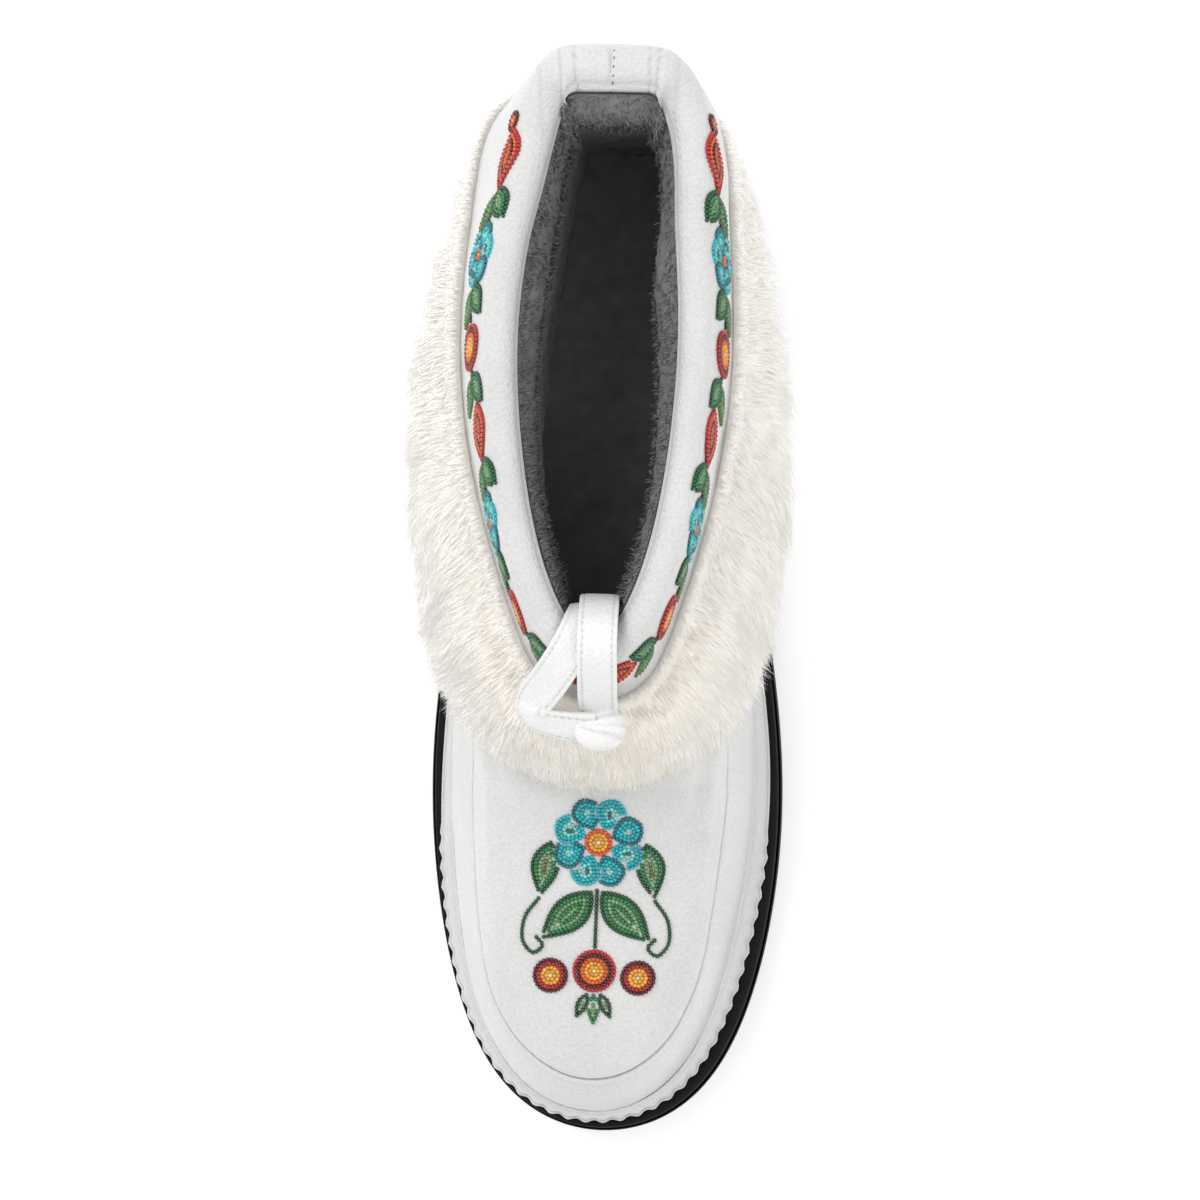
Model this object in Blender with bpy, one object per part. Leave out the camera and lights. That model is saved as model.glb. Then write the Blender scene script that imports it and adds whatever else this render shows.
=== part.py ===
"""Low mukluk boot, right foot: rubber sole, wrapped midsole, hollow leather upper, fur cuff and tie.

Lengths are metres. The toe points along -Y, the big-toe side is +X and the floor is Z = 0.
Every ring round the foot is read at an angle: 0 at the heel's back, half a turn at the toe,
and the big-toe side in between.
"""
import math

import bmesh
import bpy
import numpy as np

# Driving sizes of the whole boot
SOLE_LENGTH = 0.287
BALL_WIDTH = 0.096
BACK_HEIGHT = 0.150

# Sole
TOE_SHIFT = 0.0019
FOREFOOT_RUBBER = 0.014
HEEL_RUBBER = 0.021
TOE_SPRING = 0.009
ARCH_RISE = 0.0025
TREAD_ROUNDING = 0.0018
SIDE_STEP = 0.0010
LIP_HEIGHT = 0.0022
LIP_WIDTH = 0.0032
RIB_PITCH = 0.0052
RIB_DEPTH = 0.0007
LUG_GROOVE = 0.0052
LUG_PITCH = 0.0135
LUG_DEPTH = 0.0030
LUG_BORDER = 0.0085
WRAP_HEIGHT = 0.011
WRAP_LEAN = 0.0022
LEDGE = 0.0006

# Upper
WALL = 0.003
COLLAR_ROLL = 0.009
BACK_PADDING = 0.0045
SEAM_DEPTH = 0.0013
INSOLE_THICKNESS = 0.0035

# Fur cuff
FUR_DEPTH = 0.0135
FUR_LOCKS = 26
LOCK_RELIEF = 0.0030
FUR_SEAT = 0.0007

# Tie
STRAP_WIDTH = 0.0097
STRAP_THICKNESS = 0.0022
LOOP_REACH = 0.0165
KNOT_WIDTH = 0.0125
KNOT_LENGTH = 0.0110
KNOT_HEIGHT = 0.0085

CLEARANCE = 0.0003

# Half-widths are shares of half the ball width, read at seven even steps of the ring's angle.
# Columns: heel back, heel, shank, waist, ball, toes, tip.
STEPS = 7
SOLE_OUTLINE = (0.490, 0.720, 0.740, 0.895, 1.000, 0.869, 0.540)

# Sideways swing of the foot's centre line, a share of the ball width, from toe to heel
SWING = (0.0104, 0.0010, -0.0135, -0.0188, 0.0)

# Places along the sole, shares of its length, where its forms begin and how far they run
SHIFT_START = -0.12
SHIFT_RUN = 0.28
SPRING_START = -0.24
ARCH_FRONT = -0.05
ARCH_BACK = 0.20
ARCH_SLOPE = 0.06
WEDGE_START = -0.15
WEDGE_RUN = 0.45
RIBS_FROM = -0.21

# The upper's rings from the feather line to the collar.
# Columns: front end along the foot and its rise, back end and its rise, follow, lean, seven widths.
# Ends are shares of the sole's length, rises are shares of the upper's own height, follow is how far
# the ring takes the sole's rise and fall, and lean is the sideways shift of its back end.
RINGS = (
    # feather line
    (-0.475, 0.000, 0.467, 0.000, 1.0, 0.000, 0.406, 0.604, 0.615, 0.765, 0.852, 0.737, 0.460),
    # side wall
    (-0.469, 0.085, 0.477, 0.085, 0.9, 0.000, 0.417, 0.629, 0.642, 0.771, 0.826, 0.700, 0.430),
    # toe seam
    (-0.442, 0.186, 0.484, 0.203, 0.5, 0.000, 0.427, 0.646, 0.667, 0.740, 0.722, 0.640, 0.408),
    # vamp, low
    (-0.401, 0.220, 0.481, 0.263, 0.0, 0.000, 0.427, 0.646, 0.688, 0.750, 0.683, 0.594, 0.373),
    # vamp, middle
    (-0.331, 0.254, 0.476, 0.330, 0.0, 0.000, 0.427, 0.635, 0.688, 0.750, 0.694, 0.583, 0.356),
    # vamp, high
    (-0.261, 0.297, 0.469, 0.407, 0.0, -0.004, 0.427, 0.635, 0.688, 0.740, 0.694, 0.552, 0.367),
    # instep
    (-0.188, 0.369, 0.462, 0.492, 0.0, -0.008, 0.448, 0.635, 0.698, 0.729, 0.673, 0.583, 0.354),
    # ankle
    (-0.129, 0.458, 0.458, 0.585, 0.0, -0.012, 0.490, 0.656, 0.713, 0.725, 0.646, 0.521, 0.323),
    # collar, low
    (-0.087, 0.551, 0.460, 0.678, 0.0, -0.024, 0.517, 0.668, 0.717, 0.715, 0.610, 0.452, 0.281),
    # collar, middle
    (-0.073, 0.653, 0.472, 0.839, 0.0, 0.006, 0.480, 0.615, 0.667, 0.672, 0.583, 0.427, 0.256),
    # collar, top
    (-0.059, 0.729, 0.485, 0.958, 0.0, 0.031, 0.415, 0.525, 0.580, 0.604, 0.548, 0.427, 0.240),
)
TOE_SEAM_RING = 2
COLLAR_LOW_RING = 8
COLLAR_TOP_RING = len(RINGS) - 1

# Fur cuff at nine even steps of the ring's angle, from the heel's back to the toe side
FUR_LOW_EDGE = (4.1, 4.1, 4.1, 4.1, 4.2, 4.9, 6.0, 6.6, 6.7)
FUR_DEEP = (0.44, 0.48, 0.74, 0.98, 1.06, 1.06, 1.00, 0.92, 0.88)
# Fur section, outside, from the hanging tips to the collar: place down the cuff and thickness
FUR_SECTION = ((1.13, 0.34), (0.96, 0.74), (0.72, 1.00), (0.42, 0.98), (0.16, 0.66), (0.00, 0.24))
FUR_INSIDE = (0.02, 0.28, 0.54, 0.80, 1.00)

# Tie routes from the collar's front edge.
# Columns: sideways as a share of the loop's reach, towards the heel as a share of the sole's length,
# up from the collar's front as a share of the strap's width, and the strap's width direction in plan
# and out of level, in degrees.
STRAP_ROUTE = (
    (0.09, 0.0645, -1.94, 0.0, 0.0),
    (0.09, 0.0645, -1.00, 0.0, 0.0),
    (0.10, 0.0580, -0.18, 0.0, 0.0),
    (0.10, 0.0400, 0.36, 0.0, 0.0),
    (0.10, 0.0180, 0.42, 0.0, 0.0),
    (0.10, -0.0030, -0.12, 0.0, 0.0),
    (0.09, -0.0190, -0.96, 0.0, 0.0),
    (0.09, -0.0325, -1.74, 0.0, 0.0),
)
LOOP_ROUTE = (
    (-0.05, 0.0560, -1.94, 0.0, 0.0),
    (-0.07, 0.0560, -1.02, 0.0, 0.0),
    (-0.10, 0.0500, -0.30, 0.0, 0.0),
    (-0.20, 0.0340, 0.07, -12.0, 0.0),
    (-0.40, 0.0120, -0.08, -30.0, 0.0),
    (-0.66, -0.0100, -0.90, -35.0, 5.0),
    (-0.90, -0.0280, -1.66, -20.0, 30.0),
    (-0.95, -0.0380, -1.86, 20.0, 50.0),
    (-0.80, -0.0450, -1.90, 60.0, 60.0),
    (-0.52, -0.0480, -1.90, 80.0, 62.0),
    (-0.27, -0.0495, -1.90, 84.0, 62.0),
)
KNOT_PLACE = (0.085, -0.0535, -1.94)

# Ring and level counts
UPPER_POINTS = 48
SOLE_COARSE_STEP = 0.011
SEAM_BAND = 0.13
UPPER_LEVELS = (0.0, 0.5, 1.0, 1.5, TOE_SEAM_RING - SEAM_BAND, TOE_SEAM_RING, TOE_SEAM_RING + SEAM_BAND,
                2.5, 3.0, 4.0, 5.0, 5.5, 6.0, 6.5, 7.0, 7.5, 8.0, 9.0, 10.0)
LINING_LEVELS = (9.5, 9.0, 8.5, 8.0, 7.5, 7.0, 6.5, 6.0, 5.0, 4.0, 3.0, 2.5, 2.0, 1.5, 1.0, 0.5, 0.0)
ROLL_TURNS = (45.0, 90.0, 135.0)
POINTS_PER_LOCK = 4


def clear_scene():
    """Remove whatever the file opened with."""
    for item in list(bpy.data.objects):
        bpy.data.objects.remove(item)


def smooth(value):
    """Ease from 0 to 1 with level ends."""
    value = np.clip(value, 0.0, 1.0)
    return value * value * (3.0 - 2.0 * value)


def blend_rows(rows, place):
    """Catmull-Rom curve through evenly numbered rows, read at row numbers that may be fractions."""
    rows = np.asarray(rows, dtype=float)
    rows = rows.reshape(len(rows), -1)
    padded = np.vstack([2 * rows[0] - rows[1], rows, 2 * rows[-1] - rows[-2]])
    place = np.asarray(place, dtype=float)
    first = np.clip(np.floor(place).astype(int), 0, len(rows) - 2)
    part = (place - first)[..., None]
    before, start, end, after = (padded[first + step] for step in range(4))
    return start + 0.5 * part * (
        end - before
        + part * (2 * before - 5 * start + 4 * end - after + part * (3 * (start - end) + after - before))
    )


def half_width(shares, angle):
    """Half-width at an angle: the sum of seven sine waves that takes the shares at its seven steps."""
    steps = np.arange(1, STEPS + 1)
    waves = np.sin(np.outer(steps * math.pi / (STEPS + 1), steps))
    sizes = np.asarray(shares) @ np.linalg.inv(waves).T
    return BALL_WIDTH / 2 * (np.sin(angle[..., None] * steps) * sizes).sum(axis=-1)


def centre_line(along):
    """Sideways place of the foot's middle at a distance along the foot."""
    place = np.clip(along / SOLE_LENGTH + 0.5, 0.0, 1.0) * (len(SWING) - 1)
    return BALL_WIDTH * blend_rows(SWING, place)[..., 0]


def toe_shift(along):
    """Sideways place of wrap and upper on the rubber: nearer its little-toe side round the toe."""
    return -TOE_SHIFT * smooth((SHIFT_START - along / SOLE_LENGTH) / SHIFT_RUN)


def toe_lift(along):
    """Rise of the sole towards the toe, from nothing behind the ball."""
    share = np.clip((SPRING_START - along / SOLE_LENGTH) / (0.5 + SPRING_START), 0.0, 1.0)
    return TOE_SPRING * share ** 2


def rubber_bottom(along):
    """Height of the tread: flat at heel and ball, raised in the arch and at the toe."""
    share = along / SOLE_LENGTH
    arch = ARCH_RISE * smooth((share - ARCH_FRONT) / ARCH_SLOPE) * smooth((ARCH_BACK - share) / ARCH_SLOPE)
    return toe_lift(along) + arch


def rubber_top(along):
    """Height of the rubber's platform, rising from the forefoot to the heel."""
    wedge = smooth((along / SOLE_LENGTH - WEDGE_START) / WEDGE_RUN)
    return FOREFOOT_RUBBER + (HEEL_RUBBER - FOREFOOT_RUBBER) * wedge + 0.75 * toe_lift(along)


def wrap_top(along):
    """Height of the wrapped midsole's top face."""
    return rubber_top(along) + WRAP_HEIGHT


def sole_outline(angle):
    """Plan outline of the rubber sole: x and y at each angle."""
    along = SOLE_LENGTH / 2 * np.cos(angle)
    return np.stack([half_width(SOLE_OUTLINE, angle) + centre_line(along), along], axis=-1)


def inset(plan, distance):
    """Move a closed plan outline inwards along its own normals."""
    run = np.roll(plan, -1, axis=0) - np.roll(plan, 1, axis=0)
    inward = np.stack([-run[:, 1], run[:, 0]], axis=-1)
    inward = inward / np.linalg.norm(inward, axis=1, keepdims=True)
    middle = plan.mean(axis=0)
    if ((middle - plan) * inward).sum() < 0:
        inward = -inward
    return plan + inward * np.reshape(distance, (-1, 1))


def upper_surface(angle, level):
    """Outer skin of the upper at ring angles and levels, counted in rows of the ring table."""
    level, angle = np.broadcast_arrays(np.asarray(level, dtype=float), np.asarray(angle, dtype=float))
    ring = blend_rows(RINGS, level)
    front, rise_front, back, rise_back, follow, lean = np.moveaxis(ring[..., :6], -1, 0)
    heelward = (1 + np.cos(angle)) / 2
    along = SOLE_LENGTH * (front + (back - front) * heelward)
    heel_top = HEEL_RUBBER + WRAP_HEIGHT
    rise = rise_front + (rise_back - rise_front) * heelward
    height = heel_top + rise * (BACK_HEIGHT - heel_top)
    height = height + follow * (wrap_top(along) - heel_top) + CLEARANCE
    across = half_width(ring[..., 6:], angle) + centre_line(along) + toe_shift(along)
    across = across + lean * BALL_WIDTH / 2 * heelward
    return np.stack([across, along, height], axis=-1)


def upper_normal(angle, level):
    """Outward direction of the upper's skin, from its slopes along and across the rings."""
    step = 1e-3
    low = np.clip(np.asarray(level) - step, 0.0, COLLAR_TOP_RING)
    high = np.clip(np.asarray(level) + step, 0.0, COLLAR_TOP_RING)
    upwards = upper_surface(angle, high) - upper_surface(angle, low)
    around = upper_surface(np.asarray(angle) + step, level) - upper_surface(np.asarray(angle) - step, level)
    out = np.cross(upwards, around)
    return out / np.linalg.norm(out, axis=-1, keepdims=True)


def roll_thickness(angle):
    """Thickness of the collar's roll, fuller at the back."""
    heelward = (1 + np.cos(angle)) / 2
    return COLLAR_ROLL + BACK_PADDING * heelward ** 4


def wall_at(angle, level):
    """Thickness of the upper: the plain wall, growing into the padded roll at the collar."""
    padded = smooth((level - COLLAR_LOW_RING - 0.2) / 1.2)
    return WALL + (roll_thickness(angle) - WALL) * padded


def add_object(name, points, faces, material, smooth_angle=None):
    """Make one named closed solid from points and faces, with its faces turned outwards."""
    mesh = bpy.data.meshes.new(name)
    mesh.from_pydata([tuple(point) for point in points], [], faces)
    shape = bmesh.new()
    shape.from_mesh(mesh)
    bmesh.ops.recalc_face_normals(shape, faces=shape.faces)
    shape.to_mesh(mesh)
    shape.free()
    if smooth_angle:
        mesh.shade_smooth()
        mesh.set_sharp_from_angle(angle=math.radians(smooth_angle))
    item = bpy.data.objects.new(name, mesh)
    mesh.materials.append(material)
    bpy.context.collection.objects.link(item)
    return item


def ring_faces(ring_count, points, closed):
    """Quads between neighbouring rings, back to the first ring when closed."""
    faces = []
    for ring in range(ring_count if closed else ring_count - 1):
        here = ring * points
        there = (ring + 1) % ring_count * points
        for spot in range(points):
            after = (spot + 1) % points
            faces.append((here + spot, here + after, there + after, there + spot))
    return faces


def strip_faces(first, points):
    """Flat cap of one ring: quads from each point to its mirror on the other side of the foot."""
    half = points // 2
    faces = [(first, first + 1, first + points - 1)]
    for spot in range(1, half - 1):
        faces.append((first + spot, first + spot + 1, first + points - spot - 1, first + points - spot))
    faces.append((first + half - 1, first + half, first + half + 1))
    return faces


def looped_solid(name, rings, material, smooth_angle=40):
    """Solid whose rings close on themselves, as a tube bent round the foot."""
    points = len(rings[0])
    faces = ring_faces(len(rings), points, True)
    return add_object(name, np.concatenate(rings), faces, material, smooth_angle)


def capped_solid(name, rings, material, smooth_angle=40):
    """Solid of stacked rings with a flat cap below and above."""
    points = len(rings[0])
    faces = ring_faces(len(rings), points, False)
    faces += strip_faces(0, points)
    faces += strip_faces((len(rings) - 1) * points, points)
    return add_object(name, np.concatenate(rings), faces, material, smooth_angle)


def make_material(name, colour, roughness):
    """Plain finish with its own colour and roughness."""
    material = bpy.data.materials.new(name)
    material.use_nodes = True
    shader = material.node_tree.nodes["Principled BSDF"]
    shader.inputs["Base Color"].default_value = (*colour, 1.0)
    shader.inputs["Roughness"].default_value = roughness
    shader.inputs["Metallic"].default_value = 0.0
    return material


def even_angles(count):
    """Ring angles in equal steps."""
    return 2 * math.pi * np.arange(count) / count


def rib_angles():
    """Half-ring angles for the sole: half a rib apart round the toe, wider along the sides."""
    dense = np.linspace(0.0, math.pi, 2000)
    plan = sole_outline(dense)
    run = np.concatenate([[0.0], np.cumsum(np.linalg.norm(np.diff(plan, axis=0), axis=1))])
    rib_start = np.interp(-RIBS_FROM * SOLE_LENGTH, -plan[:, 1], run)
    side_steps = round(rib_start / SOLE_COARSE_STEP)
    toe_steps = 2 * round((run[-1] - rib_start) / RIB_PITCH)
    places = np.concatenate([
        np.linspace(0.0, rib_start, side_steps + 1)[:-1],
        np.linspace(rib_start, run[-1], toe_steps + 1),
    ])
    return np.interp(places, run, dense), side_steps


def make_outsole(material):
    """Rubber sole: rounded tread edge, stepped side with ribs round the toe, and a raised lip."""
    half, side_steps = rib_angles()
    angle = np.concatenate([half, 2 * math.pi - half[-2:0:-1]])
    outline = sole_outline(angle)
    ribs = np.zeros(len(half))
    ribs[side_steps::2] = RIB_DEPTH
    ribs = np.concatenate([ribs, ribs[-2:0:-1]])
    # Columns: inset from the outline, share of the rubber's height, extra height, share of the toe shift
    profile = (
        (2.0 * TREAD_ROUNDING, 0.0, 0.0, 0.0),
        (0.25 * TREAD_ROUNDING, 0.0, TREAD_ROUNDING, 0.0),
        (0.0, 0.42, 0.0, 0.0),
        (SIDE_STEP + ribs, 0.52, 0.0, 0.0),
        (0.4 * SIDE_STEP + ribs, 1.0, 0.1 * LIP_HEIGHT, 0.0),
        (0.35 * LIP_WIDTH + ribs, 1.0, 0.9 * LIP_HEIGHT, 0.35),
        (LIP_WIDTH, 1.0, LIP_HEIGHT, 1.0),
        (LIP_WIDTH + CLEARANCE, 1.0, 0.0, 1.0),
    )
    rings = []
    for depth, share, rise, shift in profile:
        plan = inset(outline, np.broadcast_to(depth, len(angle)))
        plan[:, 0] += shift * toe_shift(plan[:, 1])
        bottom = rubber_bottom(plan[:, 1])
        tall = rubber_top(plan[:, 1]) - bottom
        rings.append(np.column_stack([plan, bottom + share * tall + rise]))
    sole = capped_solid("outsole", rings, material, 35)
    cut_lug_grooves(sole)
    return sole


def cut_lug_grooves(sole):
    """Cut cross grooves into the tread, each as wide as the sole less its border."""
    middle_of_arch = (ARCH_FRONT + ARCH_BACK) / 2 * SOLE_LENGTH
    half_arch = (ARCH_BACK - ARCH_FRONT) / 2 * SOLE_LENGTH + LUG_GROOVE
    reach = SOLE_LENGTH / 2 - 2.2 * LUG_BORDER
    count = int(2 * reach / LUG_PITCH)
    points = []
    faces = []
    for number in range(count + 1):
        place = -reach + number * LUG_PITCH
        if abs(place - middle_of_arch) < half_arch:
            continue
        ends = np.array([place - LUG_GROOVE / 2, place + LUG_GROOVE / 2])
        if ends[1] > reach:
            continue
        plan = sole_outline(np.arccos(np.clip(2 * ends / SOLE_LENGTH, -1.0, 1.0)))
        centre = centre_line(ends)
        reach_across = plan[:, 0] - centre - LUG_BORDER
        first = len(points)
        for level in (-LUG_DEPTH, LUG_DEPTH):
            for end in range(2):
                for side in (-1, 1):
                    across = centre[end] + side * reach_across[end]
                    points.append((across, ends[end], rubber_bottom(ends[end]) + level))
        faces += [tuple(first + corner for corner in face) for face in (
            (0, 1, 3, 2), (4, 6, 7, 5), (0, 4, 5, 1), (2, 3, 7, 6), (0, 2, 6, 4), (1, 5, 7, 3))]
    cutter = add_object("lug_grooves", points, faces, sole.data.materials[0])
    cutter.hide_render = True
    cutter.display_type = "WIRE"
    cut = sole.modifiers.new("lugs", "BOOLEAN")
    cut.operation = "DIFFERENCE"
    cut.solver = "EXACT"
    cut.object = cutter


def make_midsole(material):
    """Midsole wrapped in the upper's leather: it stands in the rubber's lip and leans in to the upper."""
    angle = even_angles(UPPER_POINTS)
    foot = inset(sole_outline(angle), LIP_WIDTH + 3 * CLEARANCE)
    foot[:, 0] += toe_shift(foot[:, 1])
    ledge = inset(upper_surface(angle, 0.0)[:, :2], -LEDGE)
    rings = []
    for share, out in ((0.0, 0.0), (0.30, 0.34), (0.62, 0.46), (0.86, 0.30), (1.0, 0.0)):
        plan = inset(foot + (ledge - foot) * share, -WRAP_LEAN * out)
        height = rubber_top(plan[:, 1]) + CLEARANCE + (WRAP_HEIGHT - CLEARANCE) * share
        rings.append(np.column_stack([plan, height]))
    return capped_solid("midsole", rings, material)


def seam_trough(angle, level):
    """Depth of the toe seam's crease, fading out where the cuff covers it."""
    along = upper_surface(angle, level)[..., 1]
    shown = smooth((-along / SOLE_LENGTH - 0.06) / 0.05)
    return SEAM_DEPTH * shown * (abs(level - TOE_SEAM_RING) < SEAM_BAND / 2)


def make_upper(material):
    """Hollow leather upper: one wall from the feather line to the padded roll of the collar."""
    angle = even_angles(UPPER_POINTS)
    rings = []
    for level in UPPER_LEVELS:
        skin = upper_surface(angle, level)
        trough = seam_trough(angle, level)
        rings.append(skin - upper_normal(angle, level) * trough[:, None])
    outer = upper_surface(angle, COLLAR_TOP_RING)
    out = upper_normal(angle, COLLAR_TOP_RING)
    rise = outer - upper_surface(angle, COLLAR_TOP_RING - 0.01)
    rise = rise / np.linalg.norm(rise, axis=1, keepdims=True)
    radius = roll_thickness(angle)[:, None] / 2
    core = outer - out * radius
    for turn in ROLL_TURNS:
        rings.append(core + radius * (math.cos(math.radians(turn)) * out + math.sin(math.radians(turn)) * rise))
    for level in LINING_LEVELS:
        rings.append(upper_surface(angle, level) - upper_normal(angle, level) * wall_at(angle, level)[:, None])
    hem = rings[-1]
    hem[:, 2] = wrap_top(hem[:, 1]) + CLEARANCE
    return looped_solid("upper", rings, material)


def make_insole(material):
    """Insole board lying on the midsole inside the upper."""
    angle = even_angles(UPPER_POINTS)
    plan = inset(upper_surface(angle, 0.0)[:, :2], WALL + 3 * CLEARANCE)
    base = wrap_top(plan[:, 1]) + CLEARANCE
    edge = inset(plan, 0.3 * INSOLE_THICKNESS)
    rings = [
        np.column_stack([plan, base]),
        np.column_stack([plan, base + 0.7 * INSOLE_THICKNESS]),
        np.column_stack([edge, base + INSOLE_THICKNESS]),
    ]
    return capped_solid("insole", rings, material)


def fur_place(angle, down):
    """Level on the upper at a share of the way down the cuff."""
    steps = np.abs((np.asarray(angle) + math.pi) % (2 * math.pi) - math.pi) / math.pi * (len(FUR_LOW_EDGE) - 1)
    low_edge = blend_rows(FUR_LOW_EDGE, steps)[..., 0]
    return COLLAR_LOW_RING + (low_edge - COLLAR_LOW_RING) * down


def fur_depth(angle):
    """Depth of the fur round the cuff, thinner at the back."""
    steps = np.abs((np.asarray(angle) + math.pi) % (2 * math.pi) - math.pi) / math.pi * (len(FUR_DEEP) - 1)
    return FUR_DEPTH * blend_rows(FUR_DEEP, steps)[..., 0]


def lock_wave(angle, down):
    """Ridge height of the fur's locks: a sharp wave round the cuff, slanting as it falls."""
    turn = angle * FUR_LOCKS / (2 * math.pi)
    slant = 0.5 * down * np.sin(3 * angle)
    ridge = 1 - 2 * np.abs((turn + slant) % 1.0 - 0.5)
    unequal = 0.7 + 0.3 * np.sin(2.3 * np.floor(turn) + 1.0)
    return ridge * unequal


def make_fur_cuff(material):
    """Fur cuff: a thick band round the ankle with its locks standing out and hanging as points."""
    angle = even_angles(FUR_LOCKS * POINTS_PER_LOCK)
    rings = []
    for down in FUR_INSIDE:
        level = fur_place(angle, down)
        rings.append(upper_surface(angle, level) + upper_normal(angle, level) * FUR_SEAT)
    for down, thick in FUR_SECTION:
        locks = lock_wave(angle, down)
        hang = down + 0.10 * locks * (down > 0.9)
        level = fur_place(angle, hang)
        depth = fur_depth(angle) * thick + LOCK_RELIEF * (locks - 0.6) * min(1.0, 1.6 * thick)
        rings.append(upper_surface(angle, level) + upper_normal(angle, level) * depth[:, None])
    return looped_solid("fur_cuff", rings, material, 50)


def tie_point(route):
    """Places of a tie route from the collar's front edge."""
    route = np.asarray(route, dtype=float).reshape(-1, 3)
    front = upper_surface(math.pi, COLLAR_TOP_RING)
    top = front[2] + COLLAR_ROLL / 2
    across = front[0] + route[:, 0] * LOOP_REACH
    along = front[1] + route[:, 1] * SOLE_LENGTH
    return np.column_stack([across, along, top + route[:, 2] * STRAP_WIDTH])


def flat_strap(name, route, material, steps=18):
    """Flat band with rounded edges along a smooth curve, its width turned and tipped as the route says."""
    route = np.asarray(route)
    rows = blend_rows(route, np.linspace(0.0, len(route) - 1, steps))
    path = tie_point(rows[:, :3])
    turn = np.radians(rows[:, 3])
    tip = np.radians(rows[:, 4])
    run = np.gradient(path, axis=0)
    run = run / np.linalg.norm(run, axis=1, keepdims=True)
    across = np.column_stack([np.cos(turn) * np.cos(tip), np.sin(turn) * np.cos(tip), np.sin(tip)])
    across = across - run * (across * run).sum(axis=1, keepdims=True)
    across = across / np.linalg.norm(across, axis=1, keepdims=True)
    face = np.cross(run, across)
    wide = STRAP_WIDTH / 2
    thin = STRAP_THICKNESS / 2
    bevel = 0.45 * STRAP_THICKNESS
    section = ((wide, 0.0), (wide - bevel, thin), (bevel - wide, thin), (-wide, 0.0),
               (bevel - wide, -thin), (wide - bevel, -thin))
    rings = np.stack([path + across * side + face * up for side, up in section], axis=1)
    points = len(section)
    faces = ring_faces(steps, points, False)
    faces.append(tuple(range(points)))
    faces.append(tuple(range((steps - 1) * points, steps * points)))
    return add_object(name, rings.reshape(-1, 3), faces, material, 40)


def make_knot(material):
    """Knot of the tie: a squashed ball, pinched round its middle."""
    centre = tie_point(KNOT_PLACE)[0]
    turns = even_angles(16)
    rises = np.radians(np.linspace(-90, 90, 10))[1:-1]
    rings = []
    for rise in rises:
        pinch = 1 - 0.10 * math.cos(2 * rise) ** 2
        spread = abs(math.cos(rise)) ** 0.7 * pinch
        rings.append(np.column_stack([
            centre[0] + KNOT_WIDTH / 2 * spread * np.cos(turns),
            centre[1] + KNOT_LENGTH / 2 * spread * np.sin(turns),
            np.full(len(turns), centre[2] + KNOT_HEIGHT / 2 * math.sin(rise)),
        ]))
    count = len(turns)
    faces = ring_faces(len(rings), count, False)
    faces.append(tuple(range(count)))
    faces.append(tuple(range((len(rings) - 1) * count, len(rings) * count)))
    return add_object("tie_knot", np.concatenate(rings), faces, material, 40)


def seat_on_origin(items):
    """Shift all pieces so that the boot's box stands on the floor, centred on the origin."""
    corners = np.array([tuple(vertex.co) for item in items for vertex in item.data.vertices])
    low = corners.min(axis=0)
    high = corners.max(axis=0)
    shift = (-(low[0] + high[0]) / 2, -(low[1] + high[1]) / 2, -low[2])
    for item in bpy.data.objects:
        for vertex in item.data.vertices:
            vertex.co.x += shift[0]
            vertex.co.y += shift[1]
            vertex.co.z += shift[2]


def main():
    """Build the boot from the floor up."""
    clear_scene()
    rubber = make_material("black_rubber", (0.018, 0.018, 0.019), 0.62)
    leather = make_material("white_leather", (0.83, 0.82, 0.80), 0.48)
    lining = make_material("dark_lining", (0.06, 0.06, 0.065), 0.95)
    fur = make_material("cream_fur", (0.86, 0.83, 0.77), 0.90)
    items = [
        make_outsole(rubber),
        make_midsole(leather),
        make_upper(leather),
        make_insole(lining),
        make_fur_cuff(fur),
        flat_strap("tie_strap", STRAP_ROUTE, leather, 20),
        flat_strap("tie_loop", LOOP_ROUTE, leather, 28),
        make_knot(leather),
    ]
    seat_on_origin(items)


main()
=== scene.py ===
"""Looks of the low mukluk boot, right foot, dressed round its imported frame.

Lengths are metres. The toe points along -Y, the big-toe side is +X and the floor is Z = 0.
Every ring round the foot is read at an angle: 0 at the heel's back, half a turn at the toe,
and the big-toe side in between. Levels count the upper's rings from the feather line to the collar.
"""
import math

import bpy
import numpy as np
from mathutils import Matrix, Vector


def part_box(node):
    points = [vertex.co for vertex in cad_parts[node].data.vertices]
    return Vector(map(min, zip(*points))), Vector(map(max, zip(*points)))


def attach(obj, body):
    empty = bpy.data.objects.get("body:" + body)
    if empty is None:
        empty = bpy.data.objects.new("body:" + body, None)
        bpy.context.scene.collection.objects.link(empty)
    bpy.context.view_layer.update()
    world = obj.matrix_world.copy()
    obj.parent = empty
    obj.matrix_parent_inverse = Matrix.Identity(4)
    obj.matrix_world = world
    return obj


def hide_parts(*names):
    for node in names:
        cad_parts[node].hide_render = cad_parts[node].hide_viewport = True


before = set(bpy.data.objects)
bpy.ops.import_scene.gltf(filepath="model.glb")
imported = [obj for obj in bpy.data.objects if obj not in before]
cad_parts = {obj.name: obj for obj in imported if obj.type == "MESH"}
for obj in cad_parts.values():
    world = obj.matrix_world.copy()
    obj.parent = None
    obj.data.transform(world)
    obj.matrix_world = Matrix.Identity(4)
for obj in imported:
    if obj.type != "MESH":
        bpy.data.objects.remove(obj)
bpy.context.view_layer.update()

MM = 0.001
rng = np.random.default_rng(41)

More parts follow.
